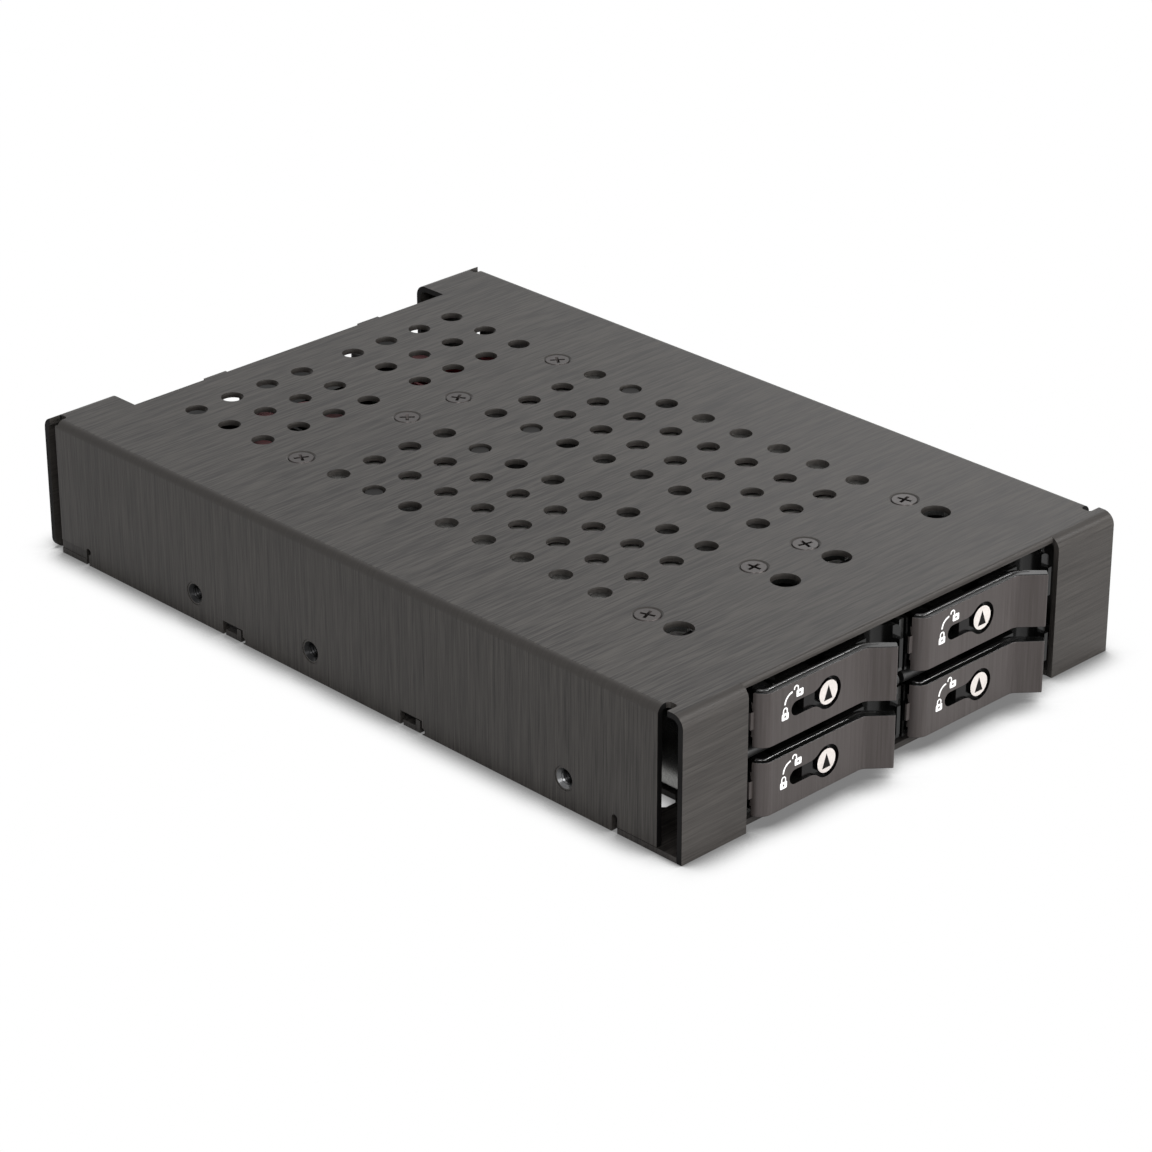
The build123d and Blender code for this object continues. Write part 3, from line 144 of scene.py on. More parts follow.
@dataclass(frozen=True)
class Finish:
    """A plain moulded, cast or coated surface: colour, gloss and a fine grain.

    grain_mm is the real size of one grain, and relief_mm is how high it stands.
    """

    name: str
    colour: str
    tint: str
    roughness: float = 0.5
    metallic: float = 0.0
    ior: float = 1.5
    grain_mm: float = 0.25
    relief_mm: float = 0.01
    gloss_play: float = 0.08
    coat: float = 0.0
    coat_roughness: float = 0.12
    mirror: float = 0.5

    def build(self) -> Material:
        """Makes the material.

        Returns:
            The finished material.
        """
        material = bpy.data.materials.new(self.name)
        material.use_nodes = True
        tree = material.node_tree
        tree.nodes.clear()
        out = add_node(tree, "ShaderNodeOutputMaterial")
        shader = add_node(tree, "ShaderNodeBsdfPrincipled", self.constants())
        place = add_node(tree, "ShaderNodeTexCoord").outputs["Object"]
        self.dress(tree, shader, place)
        tree.links.new(shader.outputs["BSDF"], out.inputs["Surface"])
        material.diffuse_color = linear(self.colour)
        return material

    def constants(self) -> dict:
        """Values that are the same all over the surface.

        Returns:
            The shader's own sockets and their plain values.
        """
        values = {
            "Metallic": self.metallic,
            "Roughness": self.roughness,
            "Coat Weight": self.coat,
            "Coat Roughness": self.coat_roughness,
            "Specular IOR Level": self.mirror,
        }
        if self.metallic == 0:
            values["IOR"] = self.ior
        return values

    def dress(self, tree: Tree, shader: Node, place: Socket) -> None:
        """Adds the grain: a mottled colour, gloss that varies, and a fine relief.

        Args:
            tree: The material's node tree.
            shader: Its main shader.
            place: The object coordinates, in metres.
        """
        grain = 1 / (self.grain_mm * MM)
        fine = add_node(
            tree,
            "ShaderNodeTexNoise",
            {"Vector": place, "Scale": grain, "Detail": 3.0, "Roughness": 0.55},
        ).outputs["Fac"]
        broad = add_node(
            tree,
            "ShaderNodeTexNoise",
            {"Vector": place, "Scale": 1 / (PATCH_MM * MM), "Detail": 2.0},
        ).outputs["Fac"]
        both = add_node(tree, "ShaderNodeMath", {0: fine, 1: broad}, operation="MULTIPLY")
        share = add_node(
            tree,
            "ShaderNodeMapRange",
            {"Value": both.outputs[0], "From Min": 0.1, "From Max": 0.42},
        )
        ends = {"Factor": share.outputs[0], **self.tones()}
        colour = add_node(tree, "ShaderNodeMix", ends, data_type="RGBA")
        tree.links.new(colour.outputs[2], shader.inputs["Base Color"])
        self.finish_off(tree, shader, broad, fine, 0.5)

    def tones(self) -> dict:
        """The finish's two colours, as the two ends of a mix."""
        return {6: linear(self.colour), 7: linear(self.tint)}

    def finish_off(
        self, tree: Tree, shader: Node, pattern: Socket, height: Socket, strength: float | Socket
    ) -> None:
        """Lets the gloss vary with a pattern and gives the surface its fine relief.

        Args:
            tree: The material's node tree.
            shader: Its main shader.
            pattern: What the gloss follows.
            height: What the relief follows.
            strength: How much of the relief shows.
        """
        ends = {
            "To Min": self.roughness - self.gloss_play,
            "To Max": self.roughness + self.gloss_play,
        }
        gloss = add_node(tree, "ShaderNodeMapRange", {"Value": pattern, **MIDDLE, **ends})
        tree.links.new(gloss.outputs[0], shader.inputs["Roughness"])
        relief = self.relief_mm * MM
        bump = add_node(
            tree, "ShaderNodeBump", {"Height": height, "Strength": strength, "Distance": relief}
        )
        tree.links.new(bump.outputs["Normal"], shader.inputs["Normal"])


@dataclass(frozen=True)
class BrushedFinish(Finish):
    """Brushed and anodised aluminium, or brushed plate: fine lines in one direction.

    The real brush lines are about 0.08 mm apart. They are drawn line_mm apart, so that
    they show at the size of the picture. The fields that end in _play say how strong the
    lines are, and those that end in _scale how much closer they lie.
    """

    run: Grain = Grain.BENT_SHEET
    line_mm: float = 0.24
    streak_mm: float = 8.0
    play: float = 1.0
    top_scale: float = 0.7
    wall_scale: float = 1.5
    top_play: float = 1.8
    flange_play: float = 0.6
    bend_play: float = 0.25
    thin_share: float = 0.68
    relief_share: float = 0.35

    def dress(self, tree: Tree, shader: Node, place: Socket) -> None:
        """Adds brush lines at two widths, and slow changes of shade.

        Args:
            tree: The material's node tree.
            shader: Its main shader.
            place: The object coordinates, in metres.
        """
        lines, play = self.lines(tree, place)
        thin, wide, cloud = (
            add_node(
                tree,
                "ShaderNodeTexNoise",
                {"Vector": base, "Scale": scale, "Detail": 2.0, "Roughness": roughness},
            ).outputs["Fac"]
            for base, scale, roughness in (
                (lines, 1.0, 0.6),
                (lines, 0.3, 0.5),
                (place, 1 / (CLOUD_MM * MM), 0.5),
            )
        )
        rest = add_node(
            tree, "ShaderNodeMath", {0: wide, 1: 1 - self.thin_share}, operation="MULTIPLY"
        )
        mixed = add_node(
            tree,
            "ShaderNodeMath",
            {0: thin, 1: self.thin_share, 2: rest.outputs[0]},
            operation="MULTIPLY_ADD",
        ).outputs[0]
        swing = add_node(
            tree,
            "ShaderNodeMapRange",
            {"Value": mixed, **MIDDLE, "To Min": -0.5, "To Max": 0.5},
        )
        share = add_node(
            tree,
            "ShaderNodeMath",
            {0: swing.outputs[0], 1: play, 2: 0.5},
            operation="MULTIPLY_ADD",
            use_clamp=True,
        )
        haze = add_node(
            tree,
            "ShaderNodeMapRange",
            {"Value": cloud, **MIDDLE, "To Min": 0.95, "To Max": 1.05},
        )
        ends = {"Factor": share.outputs[0], **self.tones()}
        colour = add_node(tree, "ShaderNodeMix", ends, data_type="RGBA")
        shade = add_node(
            tree,
            "ShaderNodeVectorMath",
            {0: colour.outputs[2], "Scale": haze.outputs[0]},
            operation="SCALE",
        )
        tree.links.new(shade.outputs[0], shader.inputs["Base Color"])
        strength = add_node(
            tree,
            "ShaderNodeMath",
            {0: play, 1: self.relief_share},
            operation="MULTIPLY",
            use_clamp=True,
        )
        self.finish_off(tree, shader, mixed, mixed, strength.outputs[0])

    def lines(self, tree: Tree, place: Socket) -> tuple[Socket, float | Socket]:
        """Stretches the coordinates along the brush lines.

        On a bent sheet the lines turn with the side that they are on, and they fade on
        the long bends.

        Args:
            tree: The material's node tree.
            place: The object coordinates, in metres.

        Returns:
            The stretched coordinates, and how strong the lines are.
        """
        fast, slow = 1 / (self.line_mm * MM), 1 / (self.streak_mm * MM)
        wall = fast * self.wall_scale
        scales = {
            Grain.UPRIGHT: (fast, slow, slow),
            Grain.ALONG_X: (slow, fast, fast),
            Grain.BENT_SHEET: (slow, wall, slow),
        }[self.run]
        lines = add_node(
            tree, "ShaderNodeVectorMath", {0: place, 1: scales}, operation="MULTIPLY"
        ).outputs[0]
        if self.run is not Grain.BENT_SHEET:
            return lines, self.play
        normal = add_node(tree, "ShaderNodeTexCoord").outputs["Normal"]
        facing = add_node(tree, "ShaderNodeSeparateXYZ", {0: normal}).outputs
        square = self.faces_along(tree, facing["X"], 0.99)
        play = add_node(
            tree,
            "ShaderNodeMapRange",
            {"Value": square, "To Min": self.bend_play, "To Max": self.play},
        ).outputs[0]
        for axis, scales, least, strength in (
            ("Z", (slow, fast * self.top_scale, slow), 0.98, self.top_play),
            ("Y", (slow, slow, wall), 0.6, self.flange_play),
        ):
            other = add_node(
                tree, "ShaderNodeVectorMath", {0: place, 1: scales}, operation="MULTIPLY"
            )
            turned = self.faces_along(tree, facing[axis], least)
            lines = add_node(
                tree,
                "ShaderNodeMix",
                {0: turned, 4: lines, 5: other.outputs[0]},
                data_type="VECTOR",
            ).outputs[1]
            play = add_node(tree, "ShaderNodeMix", {0: turned, 2: play, 3: strength}).outputs[0]
        return lines, play

    def faces_along(self, tree: Tree, part: Socket, least: float) -> Socket:
        """Finds where the sheet faces along an axis, either way.

        Args:
            tree: The material's node tree.
            part: The normal's part along the axis.
            least: How much of the normal has to lie along it.

        Returns:
            1 where it does, 0 elsewhere.
        """
        size = add_node(tree, "ShaderNodeMath", {0: part}, operation="ABSOLUTE")
        return add_node(
            tree, "ShaderNodeMath", {0: size.outputs[0], 1: least}, operation="GREATER_THAN"
        ).outputs[0]


@dataclass(frozen=True)
class ClearFinish(Finish):
    """Cast acrylic that lets light through, with faint flow marks from the mould."""

    def constants(self) -> dict:
        """The plain values, with light let through."""
        return super().constants() | {"Transmission Weight": 1.0}


@dataclass(frozen=True)
class BoardFinish(Finish):
    """Solder mask on a circuit board: glossy lacquer over raised copper tracks."""

    cell_mm: float = 2.2
    track_share: float = 0.11
    track_height_mm: float = 0.03

    def dress(self, tree: Tree, shader: Node, place: Socket) -> None:
        """Adds tracks as a fine maze that stands a little proud of the board.

        Args:
            tree: The material's node tree.
            shader: Its main shader.
            place: The object coordinates, in metres.
        """
        cells = 1 / (self.cell_mm * MM)
        tracks = add_node(
            tree,
            "ShaderNodeTexBrick",
            {"Vector": place, "Scale": cells, "Mortar Size": self.track_share},
            offset=0.37,
            squash=1.6,
        ).outputs["Fac"]
        ends = {"Factor": tracks, **self.tones()}
        colour = add_node(tree, "ShaderNodeMix", ends, data_type="RGBA")
        tree.links.new(colour.outputs[2], shader.inputs["Base Color"])
        relief = self.track_height_mm * MM
        bump = add_node(
            tree, "ShaderNodeBump", {"Height": tracks, "Strength": 0.6, "Distance": relief}
        )
        tree.links.new(bump.outputs["Normal"], shader.inputs["Normal"])


# Black anodised aluminium sheet, brushed before the bath: a dark dyed oxide layer with a
# silky sheen, so it is close to a dielectric, with faint light lines
COVER = BrushedFinish(
    "anodised_brushed_cover", "#1e1b1a", "#4a4744",
    roughness=0.42, metallic=0.15, relief_mm=0.016, mirror=0.22,
)
# The same on the plate below, a little darker and duller
PLATE = BrushedFinish(
    "anodised_brushed_plate", "#1f1d1c", "#403d3b",
    roughness=0.45, metallic=0.15, relief_mm=0.016, gloss_play=0.06, mirror=0.22,
)
# The levers' faces, brushed finer and upright: they catch the front light softly
LEVER = BrushedFinish(
    "anodised_brushed_lever", "#373230", "#464140",
    roughness=0.4, metallic=0.1, relief_mm=0.006, gloss_play=0.04, mirror=0.3,
    run=Grain.UPRIGHT, streak_mm=14.0,
)
# Black anodised inner sheet, left unbrushed: smooth enough to mirror a bright floor
CAGE = Finish(
    "anodised_smooth_sheet", "#161615", "#1f1f1e",
    roughness=0.18, metallic=0.3, grain_mm=0.5, relief_mm=0.004, gloss_play=0.05, coat=0.6,
)
# The same sheet on the channels, made pale and metallic as a painted sheen, so that it mirrors the
# floor below as a light patch
PALE_CHANNEL_SHEEN = Finish(
    "anodised_sheet_painted_sheen", "#7f7f7d", "#969694",
    roughness=0.2, metallic=0.9, grain_mm=0.5, relief_mm=0.004, gloss_play=0.05,
)
# Polished black ABS of levers and tray fronts: dark, with sharp light lines on its edges
GLOSS_ABS = Finish(
    "moulded_abs_polished", "#060606", "#0b0b0a",
    roughness=0.22, grain_mm=0.3, relief_mm=0.003, gloss_play=0.05, mirror=0.3,
)
# The same ABS on the levers' lips, buffed by fingers to a wet shine
WORN_ABS = Finish(
    "moulded_abs_buffed", "#0a0a0a", "#11100f",
    roughness=0.25, grain_mm=0.3, relief_mm=0.003, gloss_play=0.05, coat=0.6,
)
# Cut edges and end faces of the black sheet at the rear flanges and front slots, coloured near
# black as painted shade of the gaps there
GAP_EDGE_SHADE = Finish(
    "anodised_cut_edge_painted_shade", "#090909", "#0f0e0e",
    roughness=0.6, grain_mm=0.2, relief_mm=0.01, mirror=0.1,
)
# Moulded ABS with a spark eroded texture: black, with a broken dull shine
BLACK_ABS = Finish(
    "moulded_abs_black", "#121212", "#1a1a19", roughness=0.42, grain_mm=0.12, relief_mm=0.01
)
# Blackened spring strip, rolled: nearly black, with faint rolling lines
SPRING = BrushedFinish(
    "rolled_spring_steel", "#100f0f", "#1b1a19",
    roughness=0.55, metallic=0.2, relief_mm=0.005, mirror=0.15, run=Grain.ALONG_X,
)
# Black nickel on steel screws: dark grey with an oily gloss
SCREW = Finish(
    "black_nickel_steel", "#322f2e", "#45403f",
    roughness=0.34, metallic=0.8, grain_mm=0.2, relief_mm=0.006,
)
# Black zinc on the clinch nuts: dark and oily, bright only on the crests of its thread
NUT = Finish(
    "black_zinc_steel", "#151516", "#202021",
    roughness=0.28, metallic=0.8, grain_mm=0.3, relief_mm=0.004,
)
# Painted glint on the front nuts' mouths and first thread ring: bright grey zinc, with thin glints
FRONT_NUT_GLINT = Finish(
    "zinc_steel_painted_glint", "#56575a", "#6e6e6d",
    roughness=0.22, metallic=1.0, grain_mm=0.3, relief_mm=0.006,
)
# Zinc plated steel: pale, slightly blue, softly mottled
ZINC = Finish(
    "zinc_plated_steel", "#b9babb", "#d4d4d2",
    roughness=0.26, metallic=1.0, grain_mm=0.5, relief_mm=0.006,
)
# Solder mask over copper tracks: a very dark glossy green
BOARD = BoardFinish("solder_mask", "#0e1712", "#1d2c22", roughness=0.3, coat=0.3)
# Glass filled nylon of the sockets and plugs: black and slightly streaky
NYLON = Finish(
    "glass_filled_nylon", "#0f0f0f", "#191918",
    roughness=0.6, grain_mm=0.3, relief_mm=0.008, mirror=0.15,
)
# Nickel plated brass, turned: pale gold with fine rings
NICKEL_BRASS = BrushedFinish(
    "turned_nickel_brass", "#b9ab82", "#d3c69b",
    roughness=0.3, metallic=1.0, relief_mm=0.006, run=Grain.ALONG_X,
)
# Nickel plated shells, drawn, coloured near black as painted shade inside the cage, with glints on
# their edges
SHADED_SHELL = Finish(
    "nickel_shell_painted_shade", "#1e1d1c", "#2b2a28",
    roughness=0.42, metallic=0.9, grain_mm=0.4, relief_mm=0.004,
)
# Lacquered aluminium can of a capacitor: deep red under a clear gloss
CAN = Finish(
    "lacquered_can", "#75202a", "#8a2c34",
    roughness=0.3, metallic=0.4, grain_mm=0.4, relief_mm=0.004, coat=0.4,
)
# Red anodised aluminium of a heat sink, extruded: deep red with upright lines
SINK = BrushedFinish(
    "anodised_extruded_red", "#6a1c26", "#83303a",
    roughness=0.35, metallic=0.5, relief_mm=0.006, run=Grain.UPRIGHT,
)
# Epoxy resin of the chips: black, matt and sandy
RESIN = Finish(
    "moulded_epoxy_resin", "#181818", "#232323", roughness=0.6, grain_mm=0.1, relief_mm=0.01
)
# Die cast zinc alloy, tumbled: grey with a soft sandy skin
CAST = Finish("die_cast_alloy", "#4b4948", "#5f5d5c", metallic=0.6, relief_mm=0.015)
# Bead blasted aluminium of the heat spreader: pale, even and soft
SPREADER = Finish(
    "bead_blasted_aluminium", "#cbc8c5", "#dedbd8", metallic=0.2, grain_mm=0.2, relief_mm=0.015
)
# Cast acrylic light guide: clear, with faint flow marks
ACRYLIC = ClearFinish(
    "cast_acrylic_clear", "#e6eded", "#f3f8f8",
    roughness=0.08, ior=1.49, grain_mm=2.0, relief_mm=0.002, gloss_play=0.03,
)
# Smoked acrylic window: black and smooth from outside
SMOKED = Finish(
    "smoked_acrylic", "#0c0a0a", "#121010",
    roughness=0.2, ior=1.49, grain_mm=1.0, relief_mm=0.002, mirror=0.2,
)
# Nickel plated zinc casting of the turn lock: satin, nearly white
LOCK = Finish(
    "satin_nickel_casting", "#bfb8b4", "#d5cec9", roughness=0.42, metallic=0.25, grain_mm=0.18
)
# Screen printed white ink: matt and even
INK_WHITE = Finish("screen_ink_white", "#f1efed", "#ffffff", grain_mm=0.15, relief_mm=0.003)
# Black enamel filled into the arrow: matt, so it stays dark on the bright disc
INK_BLACK = Finish(
    "filled_enamel_black", "#080606", "#0e0b0b", grain_mm=0.15, relief_mm=0.003, mirror=0.1
)
FINISHES = (
    COVER, PLATE, LEVER, CAGE, PALE_CHANNEL_SHEEN, GLOSS_ABS, WORN_ABS, GAP_EDGE_SHADE, BLACK_ABS, SPRING, SCREW,
    NUT, FRONT_NUT_GLINT, ZINC, BOARD, NYLON, NICKEL_BRASS, SHADED_SHELL, CAN, SINK, RESIN, CAST, SPREADER,
    ACRYLIC, SMOKED, LOCK, INK_WHITE, INK_BLACK,
)
Palette = dict[Finish, Material]


def dress_node(node: str, material: Material) -> None:
    """Gives a CAD node its material.

    Args:
        node: The node's name.
        material: Its material.
    """
    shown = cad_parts[node]
    if not shown.material_slots:
        shown.data.materials.append(material)
    for slot in shown.material_slots:
        slot.material = material


def add_piece(
    mesh: Mesh,
    name: str,
    body: str,
    materials: Sequence[Material],
    smooth_deg: float = 35.0,
) -> bpy.types.Object:
    """Turns a bmesh into a piece that rides on a body.

    Args:
        mesh: The shape, in the row frame. It is freed.
        name: The piece's name.
        body: The CAD body that it rides on.
        materials: Its materials, in the order of the faces' material numbers.
        smooth_deg: Edges sharper than this stay sharp.

    Returns:
        The new object.
    """
    mesh.normal_update()
    for face in mesh.faces:
        face.smooth = True
    for edge in mesh.edges:
        edge.smooth = edge.is_manifold and edge.calc_face_angle(0) < math.radians(smooth_deg)
    data = bpy.data.meshes.new(name)
    mesh.to_mesh(data)
    mesh.free()
    for material in materials:
        data.materials.append(material)
    piece = bpy.data.objects.new(name, data)
    bpy.context.scene.collection.objects.link(piece)
    even = piece.modifiers.new("even_normals", "WEIGHTED_NORMAL")
    even.keep_sharp = True
    shaded = piece.evaluated_get(bpy.context.evaluated_depsgraph_get())
    piece.data = bpy.data.meshes.new_from_object(shaded)
    piece.data.name = name
    piece.modifiers.clear()
    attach(piece, body)
    log.info("piece %s on %s: %d faces", name, body, len(data.polygons))
    return piece


def merged_copy(node: str) -> Mesh:
    """Copies a CAD node and merges its loose triangles.

    Args:
        node: The node's name.

    Returns:
        The merged copy.
    """
    mesh = bmesh.new()
    mesh.from_mesh(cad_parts[node].data)
    bmesh.ops.remove_doubles(mesh, verts=mesh.verts, dist=1e-6)
    flat = math.radians(0.6)
    bmesh.ops.dissolve_limit(mesh, angle_limit=flat, verts=mesh.verts, edges=mesh.edges)
    return mesh


def soften(
    mesh: Mesh,
    radius_mm: float,
    segments: int,
    chosen: Callable[[Edge], bool] = lambda edge: True,
) -> None:
    """Rounds the sharp edges of a mesh.

    Args:
        mesh: The mesh.
        radius_mm: How far the rounding reaches.
        segments: Steps of the rounding.
        chosen: Says of an edge whether it is rounded.
    """
    sharp = math.radians(30)
    edges = [e for e in mesh.edges if e.is_manifold and e.calc_face_angle(0) > sharp and chosen(e)]
    bmesh.ops.bevel(
        mesh,
        geom=edges,
        offset=radius_mm * MM,
        offset_type="OFFSET",
        affect="EDGES",
        segments=segments,
        profile=0.5,
        clamp_overlap=True,
        material=-1,
    )


def verts_of(parts: Iterable) -> list[Vert]:
    """Picks the points out of what an operator made.

    Args:
        parts: Points, edges and faces.

    Returns:
        The points.
    """
    return [part for part in parts if isinstance(part, Vert)]


def edges_of(parts: Iterable) -> list[Edge]:
    """Picks the edges out of what an operator made.

    Args:
        parts: Points, edges and faces.

    Returns:
        The edges.
    """
    return [part for part in parts if isinstance(part, Edge)]


def to_metres(mesh: Mesh) -> Mesh:
    """Scales a mesh that was drawn in millimetres.

    Args:
        mesh: The mesh.

    Returns:
        The same mesh.
    """
    bmesh.ops.scale(mesh, vec=(MM, MM, MM), verts=mesh.verts)
    return mesh


def add_box(mesh: Mesh, low: Point, high: Point) -> None:
    """Adds a box between two corners.

    Args:
        mesh: The mesh that takes it.
        low: Its lowest corner.
        high: Its highest corner.
    """
    sizes = Vector(high) - Vector(low)
    place = Matrix.Translation((Vector(high) + Vector(low)) / 2)
    bmesh.ops.create_cube(mesh, size=1.0, matrix=place @ Matrix.Diagonal((*sizes, 1.0)))


@dataclass
class FlatHeadScrews:
    """Countersunk screws with a cross recess."""

    head_r: float = 2.45
    shank_r: float = 1.2
    depth: float = 0.9
    length: float = 2.8
    cross_arm: float = 1.35
    cross_half: float = 0.28
    cross_depth: float = 0.75
    cross_taper: float = 0.55
    groove: float = 0.36
    sides: int = 36

    def add_one(
        self, mesh: Mesh, x: float, y: float, face_z: float, up: int, turn: float
    ) -> None:
        """Adds one screw.

        Args:
            mesh: The mesh that takes it.
            x: Place of its axis.
            y: Place of its axis.
            face_z: Height of its flat face.
            up: 1 when the face looks up, -1 when it looks down.
            turn: Angle of the cross, in degrees.
        """
        a, h = self.cross_arm, self.cross_half
        quarter = [(a, -h), (a, h), (h, h)]
        corners = [
            (px * c - py * s, px * s + py * c)
            for c, s in ((1, 0), (0, 1), (-1, 0), (0, -1))
            for px, py in quarter
        ]
        made = []
        cross = [mesh.verts.new((px, py, 0)) for px, py in corners]
        made += cross
        cross_edges = [mesh.edges.new(pair) for pair in zip(cross, cross[1:] + cross[:1])]
        rim_r = self.head_r - self.groove
        rim = bmesh.ops.create_circle(mesh, cap_ends=False, radius=rim_r, segments=self.sides)
        made += rim["verts"]
        ring = list({e for v in rim["verts"] for e in v.link_edges})
        bmesh.ops.bridge_loops(mesh, edges=cross_edges + ring)
        walls = bmesh.ops.extrude_edge_only(mesh, edges=cross_edges)["geom"]
        low = verts_of(walls)
        bmesh.ops.scale(mesh, vec=(self.cross_taper, self.cross_taper, 1), verts=low)
        bmesh.ops.translate(mesh, vec=(0, 0, -self.cross_depth), verts=low)
        bmesh.ops.contextual_create(mesh, geom=edges_of(walls))
        made += low
        groove_foot = (self.head_r - self.groove * 0.45, -self.groove * 0.9)
        for radius, z in (groove_foot, (self.shank_r, -self.depth), (self.shank_r, -self.length)):
            grown = bmesh.ops.extrude_edge_only(mesh, edges=ring)["geom"]
            ring = edges_of(grown)
            for v in verts_of(grown):
                flat = v.co.xy.normalized() * radius
                v.co = (flat.x, flat.y, z)
                made.append(v)
        bmesh.ops.contextual_create(mesh, geom=ring)
        faces = list({f for v in made for f in v.link_faces})
        bmesh.ops.recalc_face_normals(mesh, faces=faces)
        place = Matrix.Translation((x * MM, y * MM, face_z * MM))
        tilt = Matrix.Identity(4) if up > 0 else Matrix.Rotation(math.pi, 4, "X")
        spin = Matrix.Rotation(math.radians(turn), 4, "Z")
        matrix = place @ tilt @ spin @ Matrix.Scale(MM, 4)
        bmesh.ops.transform(mesh, matrix=matrix, verts=list(set(made)))


@dataclass
class CoverShell:
    """Top cover, bottom plate, their screws and the threads of the side holes."""

    bevel: float = 0.1
    bay_x: float = 18.15
    screw_offset: float = 12.09
    screw_y: Pair = (-47.6, 35.3)
    screw_turns: tuple[int, ...] = (20, 62, 5, 48, 75, 33, 12, 55)
    screw_sink: float = 0.05
    height: float = 25.4
    hole_y: Point = (-50.0, 10.0, 40.0)
    hole_z: float = 5.0
    nut_face_x: float = 50.7
    outer_x: float = 50.5
    bright_x: float = 49.6
    bright_reach: float = 3.0
    thread_start: float = 0.55
    thread_pitch: float = 0.5
    thread_turns: int = 4
    thread_r: Pair = (1.245, 1.08)
    rear_face_y: float = 78.0
    slot_y: Pair = (-77.5, -69.0)
    slot_x: float = 49.5
    flange_back_y: float = -72.0
    wall_front_y: float = -74.0
    screws: FlatHeadScrews = field(default_factory=FlatHeadScrews)

    def build(self, finish: Palette) -> None:
        """Makes the softened sheets, the screws and the threads.

        Args:
            finish: The material of each finish.
        """
        for node, name, slot, look in (
            ("top_cover", "cover_sheet", "anodised_cover", COVER),
            ("bottom_plate", "plate_sheet", "anodised_plate", PLATE),
        ):
            mesh = merged_copy(node)
            soften(mesh, self.bevel, 2)
            for face in mesh.faces:
                # Faces in the gaps at the rear flanges and front slots get the near black painted
                # shade
                face.material_index = int(self.is_painted_shade(face))
            materials = [finish[look], finish[GAP_EDGE_SHADE]]
            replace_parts(add_piece(mesh, name, "chassis", materials), node)
        points = [
            (side * self.bay_x + off * self.screw_offset, y)
            for side in (-1, 1)
            for off in (-1, 1)
            for y in self.screw_y
        ]
        for node, face_z, up in (
            ("cover_screws", self.height - self.screw_sink, 1),
            ("base_screws", self.screw_sink, -1),
        ):
            mesh = bmesh.new()
            for turn, (x, y) in zip(self.screw_turns, points):
                self.screws.add_one(mesh, x, y, face_z, up, turn)
            piece = add_piece(mesh, f"{node}_crossed", "chassis", [finish[SCREW]])
            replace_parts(piece, node)
        self.nuts(finish[NUT], finish[COVER], finish[FRONT_NUT_GLINT])
        self.threads(finish[NUT], finish[FRONT_NUT_GLINT])

    def is_painted_shade(self, face: Face) -> bool:
        """Whether a face gets the painted shade: a cut edge or end face of the sheet at a rear
        flange or a front slot.

        Args:
            face: The face.

        Returns:
            True where the painted shade goes.
        """
        centre = face.calc_center_median() / MM
        across = abs(face.normal.x) > 0.5
        by_slot = self.slot_y[0] < centre.y < self.slot_y[1] and abs(centre.x) > self.slot_x
        flange = across and centre.y < self.flange_back_y
        wall = face.normal.y < -0.9 and centre.y > self.wall_front_y
        return (centre.y > self.rear_face_y and across) or (by_slot and (flange or wall))

    def nuts(self, zinc: Material, sheet: Material, bright: Material) -> None:
        """Gives the side nuts' outer faces the sheet's finish, as they are anodised with it.

        Args:
            zinc: Material of the nuts.
            sheet: Material of the cover.
            bright: Material of the front nuts' mouths, which carry a painted glint.
        """
        mesh = merged_copy("side_mount_nuts")
        for face in mesh.faces:
            centre = face.calc_center_median() / MM
            outer = abs(face.normal.x) > 0.9 and abs(centre.x) > self.outer_x
            # The front nuts' mouths get the painted glint
            mouth = centre.y < self.hole_y[0] + self.bright_reach and abs(centre.x) > self.bright_x
            face.material_index = 1 if outer else 2 if mouth else 0
        piece = add_piece(mesh, "side_nut_set", "chassis", [zinc, sheet, bright])
        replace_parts(piece, "side_mount_nuts")

    def threads(self, zinc: Material, bright: Material) -> None:
        """Lines the bores of the six side nuts with thread rings.

        Args:
            zinc: Material of the nuts.
            bright: Material of the front nuts' first ring, which carries a painted glint.
        """
        mesh = bmesh.new()
        half = self.thread_pitch / 2
        steps = [self.thread_start + i * half for i in range(2 * self.thread_turns + 1)]
        for side in (-1, 1):
            turn = Matrix.Rotation(side * math.pi / 2, 4, "Y")
            for y in self.hole_y:
                points = [(self.thread_r[i % 2], 0, -z) for i, z in enumerate(steps)]
                profile = [mesh.verts.new(point) for point in points]
                edges = [mesh.edges.new(pair) for pair in zip(profile, profile[1:])]
                bmesh.ops.spin(
                    mesh,
                    geom=profile + edges,
                    cent=(0, 0, 0),
                    axis=(0, 0, 1),
                    angle=math.tau,
                    steps=28,
                    use_merge=True,
                )
                bmesh.ops.remove_doubles(mesh, verts=mesh.verts, dist=1e-5)
                verts = [v for v in mesh.verts if not v.tag]
                place = Matrix.Translation((side * self.nut_face_x * MM, y * MM, self.hole_z * MM))
                matrix = place @ turn @ Matrix.Scale(MM, 4)
                bmesh.ops.transform(mesh, matrix=matrix, verts=verts)
                for v in verts:
                    v.tag = True
                for face in {f for v in verts for f in v.link_faces}:
                    # The front nuts' first thread ring gets the painted glint
                    outside = abs(face.calc_center_median().x) > self.bright_x * MM
                    face.material_index = int(y == self.hole_y[0] and outside)
        bmesh.ops.recalc_face_normals(mesh, faces=mesh.faces)
        bmesh.ops.reverse_faces(mesh, faces=mesh.faces)
        add_piece(mesh, "side_nut_threads", "chassis", [zinc, bright])


